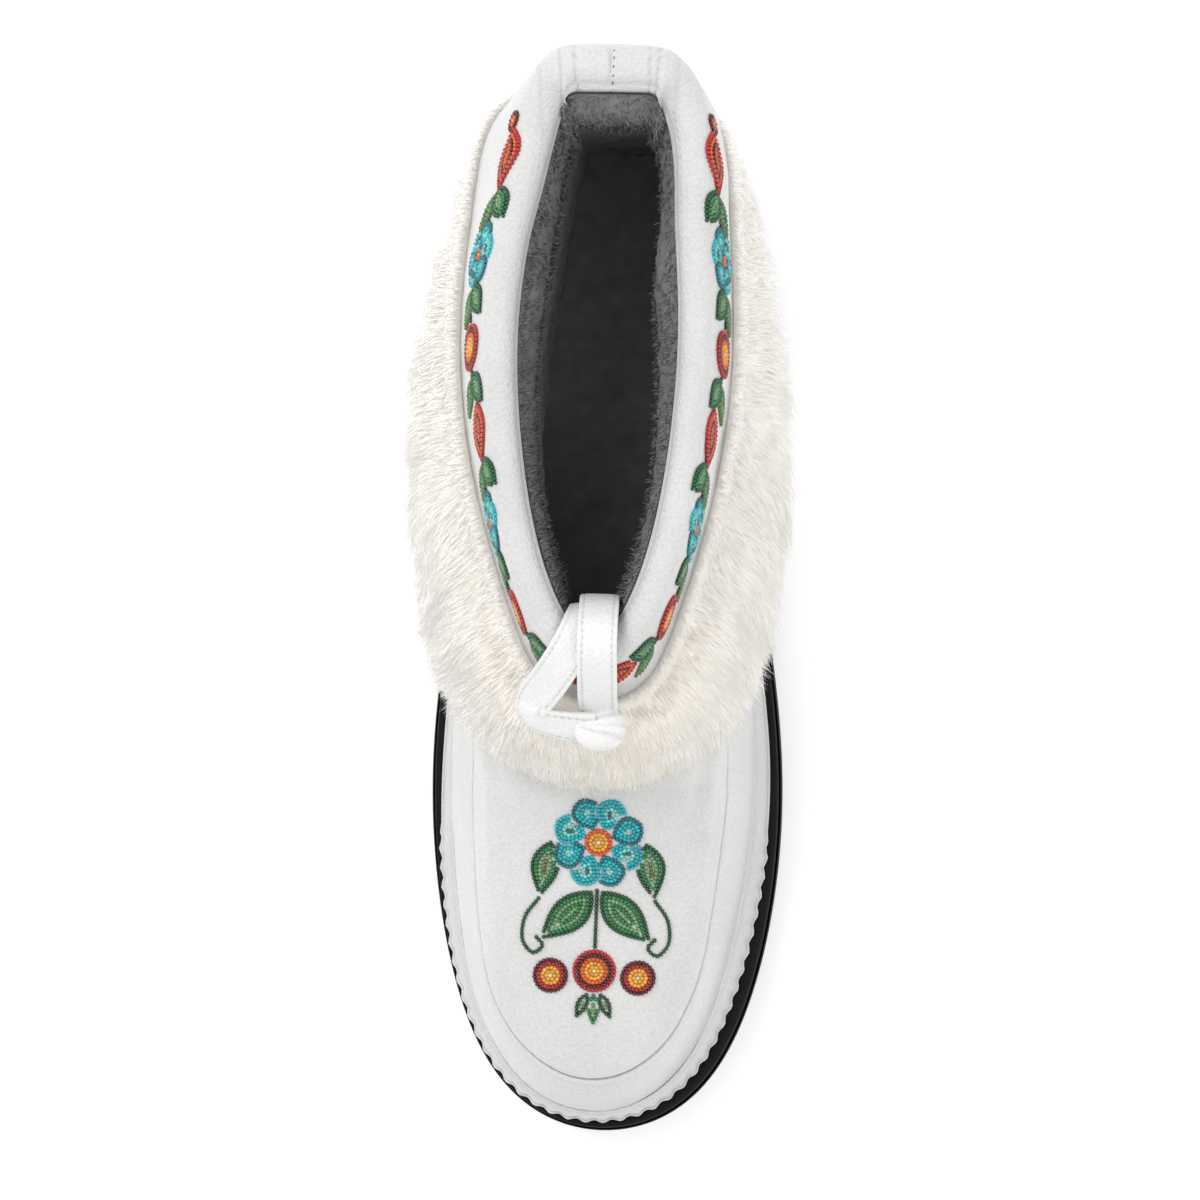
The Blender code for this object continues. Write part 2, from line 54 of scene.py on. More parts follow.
# Driving sizes, as in the part's source
SOLE_LENGTH = 0.287
BALL_WIDTH = 0.096
BACK_HEIGHT = 0.150
TOE_SHIFT = 0.0019
FOREFOOT_RUBBER = 0.014
HEEL_RUBBER = 0.021
TOE_SPRING = 0.009
ARCH_RISE = 0.0025
TREAD_ROUNDING = 0.0018
SIDE_STEP = 0.0010
LIP_HEIGHT = 0.0022
LIP_WIDTH = 0.0032
RIB_PITCH = 0.0052
SCALLOP_DEPTH = 0.0008
LUG_GROOVE = 0.0052
LUG_PITCH = 0.0135
LUG_DEPTH = 0.0030
LUG_BORDER = 0.0085
WRAP_HEIGHT = 0.011
WRAP_LEAN = 0.0022
WALL = 0.003
COLLAR_ROLL = 0.0088
BACK_PADDING = 0.0032
INSOLE_THICKNESS = 0.0035
FUR_DEPTH = 0.0135
FUR_LOCKS = 26
LOCK_RELIEF = 0.0030
FUR_SEAT = 0.0007
STRAP_WIDTH = 0.0097
STRAP_THICKNESS = 0.0022
LOOP_REACH = 0.0165
KNOT_SIZE = (0.0125, 0.0110, 0.0085)
CLEARANCE = 0.0003

# Numbers of hairs, and the strength of the glows: on the fur a painted light for the light bounced between
# its hairs, on the floor an even white
PLUSH_HAIRS = 11000
FUR_HAIRS = 75000
TOP_HAIRS = 12000
LOCK_LEADERS = 1100
FUR_PIECES = 3
FUR_GLOW = 0.18
FLOOR_GLOW = 0.32

STEPS = 7
SOLE_OUTLINE = (0.490, 0.720, 0.740, 0.895, 1.000, 0.869, 0.540)
SWING = (0.0104, 0.0010, -0.0135, -0.0188, 0.0)
SHIFT_START = -0.12
SHIFT_RUN = 0.28
SPRING_START = -0.24
ARCH_FRONT = -0.05
ARCH_BACK = 0.20
ARCH_SLOPE = 0.06
WEDGE_START = -0.15
WEDGE_RUN = 0.45
RIBS_FROM = -0.21
RINGS = (
    (-0.475, 0.000, 0.467, 0.000, 1.0, 0.000, 0.406, 0.604, 0.615, 0.765, 0.852, 0.737, 0.460),
    (-0.469, 0.085, 0.477, 0.085, 0.9, 0.000, 0.417, 0.629, 0.642, 0.771, 0.826, 0.700, 0.430),
    (-0.442, 0.186, 0.484, 0.203, 0.5, 0.000, 0.427, 0.646, 0.667, 0.740, 0.722, 0.640, 0.408),
    (-0.401, 0.220, 0.481, 0.263, 0.0, 0.000, 0.427, 0.646, 0.688, 0.750, 0.683, 0.594, 0.373),
    (-0.331, 0.254, 0.476, 0.330, 0.0, 0.000, 0.427, 0.635, 0.688, 0.750, 0.694, 0.583, 0.356),
    (-0.261, 0.297, 0.469, 0.407, 0.0, -0.004, 0.427, 0.635, 0.688, 0.740, 0.694, 0.552, 0.367),
    (-0.188, 0.369, 0.462, 0.492, 0.0, -0.008, 0.448, 0.635, 0.698, 0.729, 0.673, 0.583, 0.354),
    (-0.129, 0.458, 0.458, 0.585, 0.0, -0.012, 0.490, 0.656, 0.713, 0.725, 0.646, 0.521, 0.323),
    (-0.087, 0.551, 0.460, 0.678, 0.0, -0.024, 0.517, 0.668, 0.717, 0.715, 0.610, 0.452, 0.281),
    (-0.073, 0.653, 0.472, 0.839, 0.0, 0.006, 0.480, 0.615, 0.667, 0.672, 0.583, 0.427, 0.256),
    (-0.059, 0.729, 0.485, 0.958, 0.0, 0.031, 0.415, 0.525, 0.580, 0.604, 0.548, 0.427, 0.240),
)
TOE_SEAM_RING = 2
COLLAR_LOW_RING = 8
COLLAR_TOP_RING = len(RINGS) - 1
FUR_LOW_EDGE = (4.1, 4.1, 4.1, 4.1, 4.2, 4.9, 6.0, 6.6, 6.7)
FUR_DEEP = (0.44, 0.48, 0.74, 0.98, 1.06, 1.06, 1.00, 0.92, 0.88)
BODY_SHARE = (0.34, 0.42, 0.53, 0.74, 0.82, 0.82, 0.82, 0.80, 0.76)
HAIR_LENGTH = (0.40, 0.48, 0.64, 0.92, 1.04, 1.03, 0.98, 0.88, 0.76)
FUR_SECTION = ((1.13, 0.34), (0.96, 0.74), (0.72, 1.00), (0.42, 0.98), (0.16, 0.66), (0.00, 0.24))
STRAP_ROUTE = (
    (0.09, 0.0645, -1.94, 0.0, 0.0),
    (0.09, 0.0645, -1.00, 0.0, 0.0),
    (0.10, 0.0580, -0.18, 0.0, 0.0),
    (0.10, 0.0400, 0.36, 0.0, 0.0),
    (0.10, 0.0180, 0.42, 0.0, 0.0),
    (0.10, -0.0030, -0.12, 0.0, 0.0),
    (0.09, -0.0190, -0.96, 0.0, 0.0),
    (0.09, -0.0325, -1.70, 0.0, 0.0),
    (0.09, -0.0430, -1.86, 0.0, 0.0),
)
LOOP_ROUTE = (
    (-0.05, 0.0560, -1.94, 0.0, 0.0),
    (-0.07, 0.0560, -1.02, 0.0, 0.0),
    (-0.10, 0.0500, -0.30, 0.0, 0.0),
    (-0.20, 0.0340, 0.07, -12.0, 0.0),
    (-0.40, 0.0120, -0.08, -30.0, 0.0),
    (-0.66, -0.0100, -0.90, -35.0, 5.0),
    (-0.90, -0.0280, -1.66, -20.0, 30.0),
    (-0.95, -0.0380, -1.86, 20.0, 50.0),
    (-0.80, -0.0452, -1.90, 60.0, 52.0),
    (-0.52, -0.0488, -1.88, 76.0, 48.0),
    (-0.22, -0.0508, -1.86, 84.0, 46.0),
    (0.05, -0.0515, -1.86, 86.0, 46.0),
)
KNOT_PLACE = (0.085, -0.0535, -1.94)


# Surfaces of the boot, as in the part's source

def smooth(value):
    """Ease from 0 to 1 with level ends."""
    value = np.clip(value, 0.0, 1.0)
    return value * value * (3.0 - 2.0 * value)


def bell(value, width):
    """Soft hump of height 1 and the given half-width."""
    return np.exp(-(value / width) ** 2)


def blend_rows(rows, place):
    """Catmull-Rom curve through evenly numbered rows, read at row numbers that may be fractions."""
    rows = np.asarray(rows, dtype=float)
    rows = rows.reshape(len(rows), -1)
    padded = np.vstack([2 * rows[0] - rows[1], rows, 2 * rows[-1] - rows[-2]])
    place = np.asarray(place, dtype=float)
    first = np.clip(np.floor(place).astype(int), 0, len(rows) - 2)
    part = (place - first)[..., None]
    before, start, end, after = (padded[first + step] for step in range(4))
    return start + 0.5 * part * (
        end - before
        + part * (2 * before - 5 * start + 4 * end - after + part * (3 * (start - end) + after - before))
    )


def half_width(shares, angle):
    """Half-width at an angle: the sum of seven sine waves that takes the shares at its seven steps."""
    steps = np.arange(1, STEPS + 1)
    waves = np.sin(np.outer(steps * math.pi / (STEPS + 1), steps))
    sizes = np.asarray(shares) @ np.linalg.inv(waves).T
    return BALL_WIDTH / 2 * (np.sin(angle[..., None] * steps) * sizes).sum(axis=-1)


def centre_line(along):
    """Sideways place of the foot's middle at a distance along the foot."""
    place = np.clip(along / SOLE_LENGTH + 0.5, 0.0, 1.0) * (len(SWING) - 1)
    return BALL_WIDTH * blend_rows(SWING, place)[..., 0]


def toe_shift(along):
    """Sideways place of wrap and upper on the rubber: nearer its little-toe side round the toe."""
    return -TOE_SHIFT * smooth((SHIFT_START - along / SOLE_LENGTH) / SHIFT_RUN)


def toe_lift(along):
    """Rise of the sole towards the toe, from nothing behind the ball."""
    share = np.clip((SPRING_START - along / SOLE_LENGTH) / (0.5 + SPRING_START), 0.0, 1.0)
    return TOE_SPRING * share ** 2


def rubber_bottom(along):
    """Height of the tread: flat at heel and ball, raised in the arch and at the toe."""
    share = along / SOLE_LENGTH
    from_front = smooth((share - ARCH_FRONT) / ARCH_SLOPE)
    from_back = smooth((ARCH_BACK - share) / ARCH_SLOPE)
    return toe_lift(along) + ARCH_RISE * from_front * from_back


def rubber_top(along):
    """Height of the rubber's platform, rising from the forefoot to the heel."""
    wedge = smooth((along / SOLE_LENGTH - WEDGE_START) / WEDGE_RUN)
    return FOREFOOT_RUBBER + (HEEL_RUBBER - FOREFOOT_RUBBER) * wedge + 0.75 * toe_lift(along)


def wrap_top(along):
    """Height of the wrapped midsole's top face."""
    return rubber_top(along) + WRAP_HEIGHT


def even_angles(count):
    """Ring angles in equal steps."""
    return 2 * math.pi * np.arange(count) / count


def sole_outline(angle):
    """Plan outline of the rubber sole: x and y at each angle."""
    along = SOLE_LENGTH / 2 * np.cos(angle)
    return np.stack([half_width(SOLE_OUTLINE, angle) + centre_line(along), along], axis=-1)


def inset(plan, distance):
    """Move a closed plan outline inwards along its own normals."""
    run = np.roll(plan, -1, axis=0) - np.roll(plan, 1, axis=0)
    inward = np.stack([-run[:, 1], run[:, 0]], axis=-1)
    inward = inward / np.linalg.norm(inward, axis=1, keepdims=True)
    if ((plan.mean(axis=0) - plan) * inward).sum() < 0:
        inward = -inward
    return plan + inward * np.reshape(distance, (-1, 1))


def upper_surface(angle, level):
    """Outer skin of the upper at ring angles and levels, counted in rows of the ring table."""
    level, angle = np.broadcast_arrays(np.asarray(level, dtype=float), np.asarray(angle, dtype=float))
    ring = blend_rows(RINGS, level)
    front, rise_front, back, rise_back, follow, lean = np.moveaxis(ring[..., :6], -1, 0)
    heelward = (1 + np.cos(angle)) / 2
    along = SOLE_LENGTH * (front + (back - front) * heelward)
    heel_top = HEEL_RUBBER + WRAP_HEIGHT
    rise = rise_front + (rise_back - rise_front) * heelward
    height = heel_top + rise * (BACK_HEIGHT - heel_top)
    height = height + follow * (wrap_top(along) - heel_top) + CLEARANCE
    across = half_width(ring[..., 6:], angle) + centre_line(along) + toe_shift(along)
    across = across + lean * BALL_WIDTH / 2 * heelward
    return np.stack([across, along, height], axis=-1)


def unit(vectors):
    """Vectors at length 1."""
    return vectors / np.maximum(np.linalg.norm(vectors, axis=-1, keepdims=True), 1e-12)


def upper_normal(angle, level):
    """Outward direction of the upper's skin, from its slopes along and across the rings."""
    step = 1e-3
    low = np.clip(np.asarray(level) - step, 0.0, COLLAR_TOP_RING)
    high = np.clip(np.asarray(level) + step, 0.0, COLLAR_TOP_RING)
    upwards = upper_surface(angle, high) - upper_surface(angle, low)
    angle = np.asarray(angle)
    around = upper_surface(angle + step, level) - upper_surface(angle - step, level)
    return unit(np.cross(upwards, around))


def roll_thickness(angle):
    """Thickness of the collar's roll, fuller at the back."""
    heelward = (1 + np.cos(angle)) / 2
    return COLLAR_ROLL + BACK_PADDING * heelward ** 4


def wall_at(angle, level):
    """Thickness of the upper: the plain wall, growing into the padded roll at the collar."""
    padded = smooth((level - COLLAR_LOW_RING - 0.2) / 1.2)
    return WALL + (roll_thickness(angle) - WALL) * padded


def fur_steps(angle, table):
    """Value of a nine-step table round the cuff."""
    steps = np.abs((np.asarray(angle) + math.pi) % (2 * math.pi) - math.pi) / math.pi * (len(table) - 1)
    return blend_rows(table, steps)[..., 0]


def fur_place(angle, down):
    """Level on the upper at a share of the way down the cuff."""
    return COLLAR_LOW_RING + (fur_steps(angle, FUR_LOW_EDGE) - COLLAR_LOW_RING) * down


def lock_wave(angle, down):
    """Ridge height of the fur's locks: a sharp wave round the cuff, slanting as it falls."""
    turn = angle * FUR_LOCKS / (2 * math.pi)
    slant = 0.5 * down * np.sin(3 * angle)
    ridge = 1 - 2 * np.abs((turn + slant) % 1.0 - 0.5)
    return ridge * (0.7 + 0.3 * np.sin(2.3 * np.floor(turn) + 1.0))


def ripple(points, size, seed, waves=14):
    """Smooth uneven relief between -1 and 1: the sum of sine waves that run in many directions."""
    turn = np.random.default_rng(seed)
    ways = unit(turn.normal(size=(waves, 3))) * (2 * math.pi / size) * turn.uniform(0.6, 1.5, (waves, 1))
    phase = turn.uniform(0, 2 * math.pi, waves)
    return np.sin(points @ ways.T + phase).sum(axis=-1) / math.sqrt(waves) / 1.4


OUTSOLE_LOW, OUTSOLE_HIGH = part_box("outsole")
PLAIN_OUTLINE = sole_outline(even_angles(4000))
PLAIN_MIDDLE = (PLAIN_OUTLINE[:, 0].min() + PLAIN_OUTLINE[:, 0].max()) / 2
SEAT = np.array([(OUTSOLE_LOW.x + OUTSOLE_HIGH.x) / 2 - PLAIN_MIDDLE, 0.0, 0.0])


# Meshes

def add_piece(name, points, faces, material, stands_for=(), tones=None, colours=None, sharp=None):
    """One closed mesh from blocks of faces as corner numbers, turned so that its volume is positive."""
    points = np.asarray(points, dtype=float).reshape(-1, 3)
    volume = 0.0
    for block in faces:
        corner = points[block]
        for third in range(2, block.shape[1]):
            volume += (corner[:, 0] * np.cross(corner[:, third - 1], corner[:, third])).sum()
    if volume < 0:
        faces = [block[:, ::-1] for block in faces]
    sizes = np.concatenate([np.full(len(block), block.shape[1]) for block in faces])
    corners = np.concatenate([block.ravel() for block in faces])
    mesh = bpy.data.meshes.new(name)
    mesh.vertices.add(len(points))
    mesh.vertices.foreach_set("co", (points + SEAT).astype(np.float32).ravel())
    mesh.loops.add(len(corners))
    mesh.loops.foreach_set("vertex_index", corners.astype(np.int32))
    mesh.polygons.add(len(sizes))
    mesh.polygons.foreach_set("loop_start", (np.cumsum(sizes) - sizes).astype(np.int32))
    mesh.update(calc_edges=True)
    mesh.validate()
    mesh.shade_smooth()
    if sharp:
        mesh.set_sharp_from_angle(angle=math.radians(sharp))
    if tones is not None:
        layer = mesh.attributes.new("tone", "FLOAT", "POINT")
        layer.data.foreach_set("value", np.asarray(tones, dtype=np.float32).ravel())
    if colours is not None:
        layer = mesh.color_attributes.new("paint", "FLOAT_COLOR", "POINT")
        layer.data.foreach_set("color", np.asarray(colours, dtype=np.float32).ravel())
    mesh.materials.append(material)
    item = bpy.data.objects.new(name, mesh)
    bpy.context.collection.objects.link(item)
    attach(item, "root")
    if stands_for:
        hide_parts(*stands_for)
    return item


def grid_faces(rows, columns, wrap_rows=False, wrap_columns=True):
    """Quads of a grid of points, numbered row by row."""
    row = np.arange(rows if wrap_rows else rows - 1)[:, None]
    column = np.arange(columns if wrap_columns else columns - 1)[None, :]
    below = (row + 1) % rows * columns
    after = (column + 1) % columns
    corners = (row * columns + column, row * columns + after, below + after, below + column)
    return np.stack(np.broadcast_arrays(*corners), axis=-1).reshape(-1, 4)


def cap_across(ring, first, free, columns):
    """Cap of a foot-shaped ring: rows of points run straight from each side to the other.

    Gives the new points, the quads and the end triangles. The ring's points are numbered from first
    and the new points from free.
    """
    half = len(ring) // 2
    share = np.linspace(0.0, 1.0, columns + 1)[1:-1]
    left = ring[1:half]
    right = ring[:half:-1]
    added = left[:, None] + (right - left)[:, None] * share[None, :, None]
    number = np.empty((half + 1, columns + 1), dtype=int)
    number[:, 0] = first + np.arange(half + 1)
    number[:, -1] = first + (len(ring) - np.arange(half + 1)) % len(ring)
    number[1:half, 1:-1] = free + np.arange((half - 1) * (columns - 1)).reshape(half - 1, columns - 1)
    quads = np.stack([number[1:-2, :-1], number[1:-2, 1:], number[2:-1, 1:], number[2:-1, :-1]], axis=-1)
    top = np.stack([np.full(columns, first), number[1, 1:], number[1, :-1]], axis=-1)
    end = np.stack([np.full(columns, first + half), number[half - 1, :-1], number[half - 1, 1:]], axis=-1)
    return added.reshape(-1, 3), quads.reshape(-1, 4), np.concatenate([top, end])


def capped_rings(rings, bottom_columns, top_columns, low_cap=None, high_cap=None):
    """Stack of foot-shaped rings closed below and above; each cap may be reshaped by a function."""
    count = len(rings[0])
    points = np.concatenate(rings)
    total = len(points)
    below, below_quads, below_ends = cap_across(rings[0], 0, total, bottom_columns)
    above, above_quads, above_ends = cap_across(
        rings[-1], total - count, total + len(below), top_columns)
    if low_cap:
        below = low_cap(below)
    if high_cap:
        above = high_cap(above)
    walls = grid_faces(len(rings), count)
    points = np.concatenate([points, below, above])
    return points, [walls, below_quads[:, ::-1], above_quads, below_ends[:, ::-1], above_ends]


# Materials

def new_material(name, colour, roughness):
    """Principled finish with its plain values on the shader's own sockets."""
    material = bpy.data.materials.new(name)
    material.use_nodes = True
    nodes = material.node_tree.nodes
    shader = nodes["Principled BSDF"]
    shader.inputs["Base Color"].default_value = (*colour, 1.0)
    shader.inputs["Roughness"].default_value = roughness
    return material, nodes, material.node_tree.links, shader


def texture(nodes, links, kind, scale, **settings):
    """Texture node that reads the object's own coordinates."""
    place = nodes.get("Object place") or nodes.new("ShaderNodeTexCoord")
    place.name = "Object place"
    node = nodes.new(kind)
    node.inputs["Scale"].default_value = scale
    for key, value in settings.items():
        node.inputs[key].default_value = value
    links.new(place.outputs["Object"], node.inputs["Vector"])
    return node


def ramp(nodes, links, source, stops):
    """Colour ramp read from a value, with stops of place and colour."""
    node = nodes.new("ShaderNodeValToRGB")
    elements = node.color_ramp.elements
    while len(elements) < len(stops):
        elements.new(0.5)
    for element, (place, colour) in zip(elements, stops):
        element.position = place
        element.color = (*colour, 1.0)
    links.new(source, node.inputs["Fac"])
    return node.outputs["Color"]


def mix(nodes, links, factor, first, second, way="MIX"):
    """Mix of two colours by a factor, each given as a socket or a plain value."""
    node = nodes.new("ShaderNodeMix")
    node.data_type = "RGBA"
    node.blend_type = way
    for place, value in ((0, factor), (6, first), (7, second)):
        if isinstance(value, bpy.types.NodeSocket):
            links.new(value, node.inputs[place])
        elif place:
            node.inputs[place].default_value = (*value, 1.0)
        else:
            node.inputs[place].default_value = value
    return node.outputs[2]


def attribute(nodes, name):
    """Value of a named attribute of the mesh."""
    node = nodes.new("ShaderNodeAttribute")
    node.attribute_name = name
    return node


def bump(nodes, links, shader, layers):
    """Chain of bumps into the shader, each a height socket with its strength and distance."""
    before = None
    for height, strength, distance in layers:
        node = nodes.new("ShaderNodeBump")
        node.inputs["Strength"].default_value = strength
        node.inputs["Distance"].default_value = distance
        links.new(height, node.inputs["Height"])
        if before:
            links.new(before.outputs["Normal"], node.inputs["Normal"])
        before = node
    links.new(before.outputs["Normal"], shader.inputs["Normal"])


def make_leather(name, grain, painted_shade_colour, light):
    """White leather: cell grain with fine creases, slightly uneven colour, and painted shade from the mesh's
    tone in seams, creases and shaded walls.
    """
    material, nodes, links, shader = new_material(name, (0.72, 0.72, 0.71), 0.5)
    cells = texture(nodes, links, "ShaderNodeTexVoronoi", grain)
    wander = texture(nodes, links, "ShaderNodeTexNoise", 55.0, Detail=3.0)
    pores = texture(nodes, links, "ShaderNodeTexNoise", grain * 0.9, Detail=3.0)
    clouds = ramp(nodes, links, wander.outputs["Fac"], (
        (0.3, (0.69 * light, 0.69 * light, 0.685 * light)),
        (0.7, (0.73 * light, 0.73 * light, 0.725 * light)),
    ))
    pits = ramp(nodes, links, cells.outputs["Distance"], (
        (0.1, (1.0, 1.0, 1.0)),
        (0.75, (0.90, 0.90, 0.90)),
    ))
    grained = mix(nodes, links, 1.0, clouds, pits, "MULTIPLY")
    # The mesh's tone is painted shade: dark in seam grooves, pleats, gutters and crevices, grey on walls
    # turned from the light.
    seam = attribute(nodes, "tone").outputs["Fac"]
    links.new(mix(nodes, links, seam, grained, painted_shade_colour), shader.inputs["Base Color"])
    rough = nodes.new("ShaderNodeMapRange")
    rough.inputs["To Min"].default_value = 0.42
    rough.inputs["To Max"].default_value = 0.60
    links.new(pores.outputs["Fac"], rough.inputs["Value"])
    links.new(rough.outputs["Result"], shader.inputs["Roughness"])
    shader.inputs["Specular IOR Level"].default_value = 0.42
    shader.inputs["Sheen Weight"].default_value = 0.06
    bump(nodes, links, shader, (
        (cells.outputs["Distance"], 0.34, 0.00040),
        (pores.outputs["Fac"], 0.45, 0.00045),
        (wander.outputs["Fac"], 0.10, 0.0010),
    ))
    return material


def make_rubber():
    """Black moulded rubber with a faint dusty bloom and fine skin."""
    material, nodes, links, shader = new_material("black_rubber", (0.012, 0.012, 0.013), 0.55)
    dust = texture(nodes, links, "ShaderNodeTexNoise", 90.0, Detail=5.0)
    skin = texture(nodes, links, "ShaderNodeTexNoise", 1400.0, Detail=2.0)
    colour = ramp(nodes, links, dust.outputs["Fac"], (
        (0.35, (0.0025, 0.0025, 0.003)),
        (0.8, (0.007, 0.007, 0.0075)),
    ))
    links.new(colour, shader.inputs["Base Color"])
    rough = nodes.new("ShaderNodeMapRange")
    rough.inputs["To Min"].default_value = 0.46
    rough.inputs["To Max"].default_value = 0.70
    links.new(dust.outputs["Fac"], rough.inputs["Value"])
    links.new(rough.outputs["Result"], shader.inputs["Roughness"])
    shader.inputs["Specular IOR Level"].default_value = 0.16
    bump(nodes, links, shader, ((skin.outputs["Fac"], 0.25, 0.0002), (dust.outputs["Fac"], 0.1, 0.0006)))
    return material


def make_pile(name, deep, tip, roughness, scale, patchy, glow):
    """Pile coloured from deep to tip by the mesh's own tone: root to tip and warmth on the fur, painted
    light and shade on the plush; with darker patches.
    """
    material, nodes, links, shader = new_material(name, tip, roughness)
    tone = attribute(nodes, "tone").outputs["Fac"]
    patch = texture(nodes, links, "ShaderNodeTexNoise", scale, Detail=2.0)
    colour = ramp(nodes, links, tone, ((0.0, deep), (1.0, tip)))
    shade = ramp(nodes, links, patch.outputs["Fac"], (
        (0.3, (patchy, patchy, patchy)),
        (0.7, (1.0, 1.0, 1.0)),
    ))
    links.new(mix(nodes, links, 1.0, colour, shade, "MULTIPLY"), shader.inputs["Base Color"])
    shader.inputs["Specular IOR Level"].default_value = 0.25
    shader.inputs["Sheen Weight"].default_value = 0.25
    # Emission is a painted light: on the fur it stands in for light bounced between the hairs; the plush has
    # none.
    shader.inputs["Emission Color"].default_value = (*tip, 1.0)
    shader.inputs["Emission Strength"].default_value = glow
    bump(nodes, links, shader, ((patch.outputs["Fac"], 0.12, 0.0006),))
    return material


def make_beads():
    """Glass beads with their own paint and a clear glossy skin."""
    material, nodes, links, shader = new_material("glass_beads", (0.2, 0.5, 0.5), 0.24)
    speck = texture(nodes, links, "ShaderNodeTexNoise", 700.0, Detail=1.0)
    shade = ramp(nodes, links, speck.outputs["Fac"], ((0.3, (0.75, 0.75, 0.75)), (0.7, (1.0, 1.0, 1.0))))
    paint = attribute(nodes, "paint").outputs["Color"]
    links.new(mix(nodes, links, 1.0, paint, shade, "MULTIPLY"), shader.inputs["Base Color"])
    shader.inputs["Coat Weight"].default_value = 0.3
    shader.inputs["Coat Roughness"].default_value = 0.1
    return material


def make_thread():
    """Twisted thread in a pale grey, darkened by the mesh's tone: painted shade where it lies in a seam."""
    material, nodes, links, shader = new_material("stitch_thread", (0.60, 0.60, 0.59), 0.7)
    twist = texture(nodes, links, "ShaderNodeTexWave", 900.0, Distortion=2.0)
    colour = ramp(nodes, links, twist.outputs["Fac"], (
        (0.2, (0.50, 0.50, 0.49)),
        (0.8, (0.68, 0.68, 0.66)),
    ))
    # Painted shade for stitches sunk in a seam, by the mesh's tone.
    painted_seam_shade = attribute(nodes, "tone").outputs["Fac"]
    links.new(mix(nodes, links, painted_seam_shade, colour, (0.12, 0.12, 0.12)), shader.inputs["Base Color"])
    bump(nodes, links, shader, ((twist.outputs["Fac"], 0.4, 0.0001),))
    return material


# Sole

def rib_wave(angle):
    """Scallop round the toe: 0 between ribs, 1 on them, in equal steps along the outline."""
    dense = np.linspace(0.0, math.pi, 4000)
    plan = sole_outline(dense)
    run = np.concatenate([[0.0], np.cumsum(np.linalg.norm(np.diff(plan, axis=0), axis=1))])
    start = np.interp(-RIBS_FROM * SOLE_LENGTH, -plan[:, 1], run)
    fold = np.where(angle > math.pi, 2 * math.pi - angle, angle)
    place = np.interp(fold, dense, run)
    shown = smooth((place - start) / 0.006)
    count = round((run[-1] - start) / RIB_PITCH)
    return shown * (0.5 - 0.5 * np.cos(2 * math.pi * (place - start) / (run[-1] - start) * count))


def build_outsole(material):
    """Rubber sole: rounded tread edge, stepped side, rounded lip with a scalloped inner edge, cross lugs."""
    angle = even_angles(860)
    outline = sole_outline(angle)
    scallop = rib_wave(angle) * SCALLOP_DEPTH
    turn = np.radians(np.linspace(90, 0, 5))
    edge = [
        (TREAD_ROUNDING * (1 - math.cos(t)), 0.0, TREAD_ROUNDING * (1 - math.sin(t)), 0.0)
        for t in turn
    ]
    inner = LIP_WIDTH + 0.1 * MM - scallop
    profile = [(3 * TREAD_ROUNDING, 0.0, 0.0, 0.0)] + edge + [
        (0.0, 0.44, 0.0, 0.0),
        (0.05 * SIDE_STEP, 0.80, 0.0, 0.0),
        (0.22 * SIDE_STEP, 0.90, 0.0, 0.0),
        (0.42 * SIDE_STEP, 0.925, 0.0, 0.0),
        (0.62 * SIDE_STEP, 0.90, 0.0, 0.0),
        (0.92 * SIDE_STEP, 0.885, 0.0, 0.0),
        (1.02 * SIDE_STEP, 0.92, 0.0, 0.0),
        (1.05 * SIDE_STEP, 1.0, 0.30 * LIP_HEIGHT, 0.1),
        (1.20 * SIDE_STEP, 1.0, 0.62 * LIP_HEIGHT, 0.25),
        (1.55 * SIDE_STEP, 1.0, 0.80 * LIP_HEIGHT, 0.45),
        (0.62 * LIP_WIDTH, 1.0, 0.86 * LIP_HEIGHT, 0.7),
        (inner - 0.35 * MM, 1.0, 0.84 * LIP_HEIGHT, 1.0),
        (inner - 0.05 * MM, 1.0, 0.70 * LIP_HEIGHT, 1.0),
        (inner, 1.0, 0.45 * LIP_HEIGHT, 1.0),
        (LIP_WIDTH + CLEARANCE, 1.0, 0.0, 1.0),
    ]
    rings = []
    for depth, share, rise, shift in profile:
        plan = inset(outline, np.broadcast_to(depth, len(angle)))
        plan[:, 0] += shift * toe_shift(plan[:, 1])
        bottom = rubber_bottom(plan[:, 1])
        rings.append(np.column_stack([plan, bottom + share * (rubber_top(plan[:, 1]) - bottom) + rise]))

    def tread(points):
        """Cross grooves with sloped walls, ending at the border; none in the arch."""
        across, along = points[:, 0], points[:, 1]
        reach = SOLE_LENGTH / 2 - 2.2 * LUG_BORDER
        phase = (along + reach) / LUG_PITCH
        nearest = np.round(phase)
        gap = np.abs(phase - nearest) * LUG_PITCH
        groove = smooth((LUG_GROOVE / 2 + 0.4 * MM - gap) / (0.9 * MM))
        place = nearest * LUG_PITCH - reach
        middle = (ARCH_FRONT + ARCH_BACK) / 2 * SOLE_LENGTH
        half_arch = (ARCH_BACK - ARCH_FRONT) / 2 * SOLE_LENGTH + LUG_GROOVE
        kept = (np.abs(place - middle) >= half_arch) & (nearest >= 0) & (place < reach - LUG_GROOVE / 2)
        side = sole_outline(np.arccos(np.clip(2 * along / SOLE_LENGTH, -1, 1)))[:, 0] - centre_line(along)
        inside = smooth((side - LUG_BORDER - np.abs(across - centre_line(along))) / (0.9 * MM) + 0.5)
        points[:, 2] = rubber_bottom(along) + LUG_DEPTH * groove * kept * inside
        return points

    points, faces = capped_rings(rings, 24, 4, low_cap=tread)
    return add_piece("rubber_outsole", points, faces, material, ["outsole"], sharp=42)


def feather_tuck(angle):
    """How far the feather line and the welt draw in from the ring table: most on the big-toe side."""
    tip = ((1 - np.cos(angle)) / 2) ** 10
    inner = np.clip(np.sin(angle), 0, 1)
    along = SOLE_LENGTH / 2 * np.cos(angle)
    front = smooth((0.095 - along) / 0.06)
    return front * (1 - tip) * (0.2 + 0.95 * inner ** 0.7) * MM


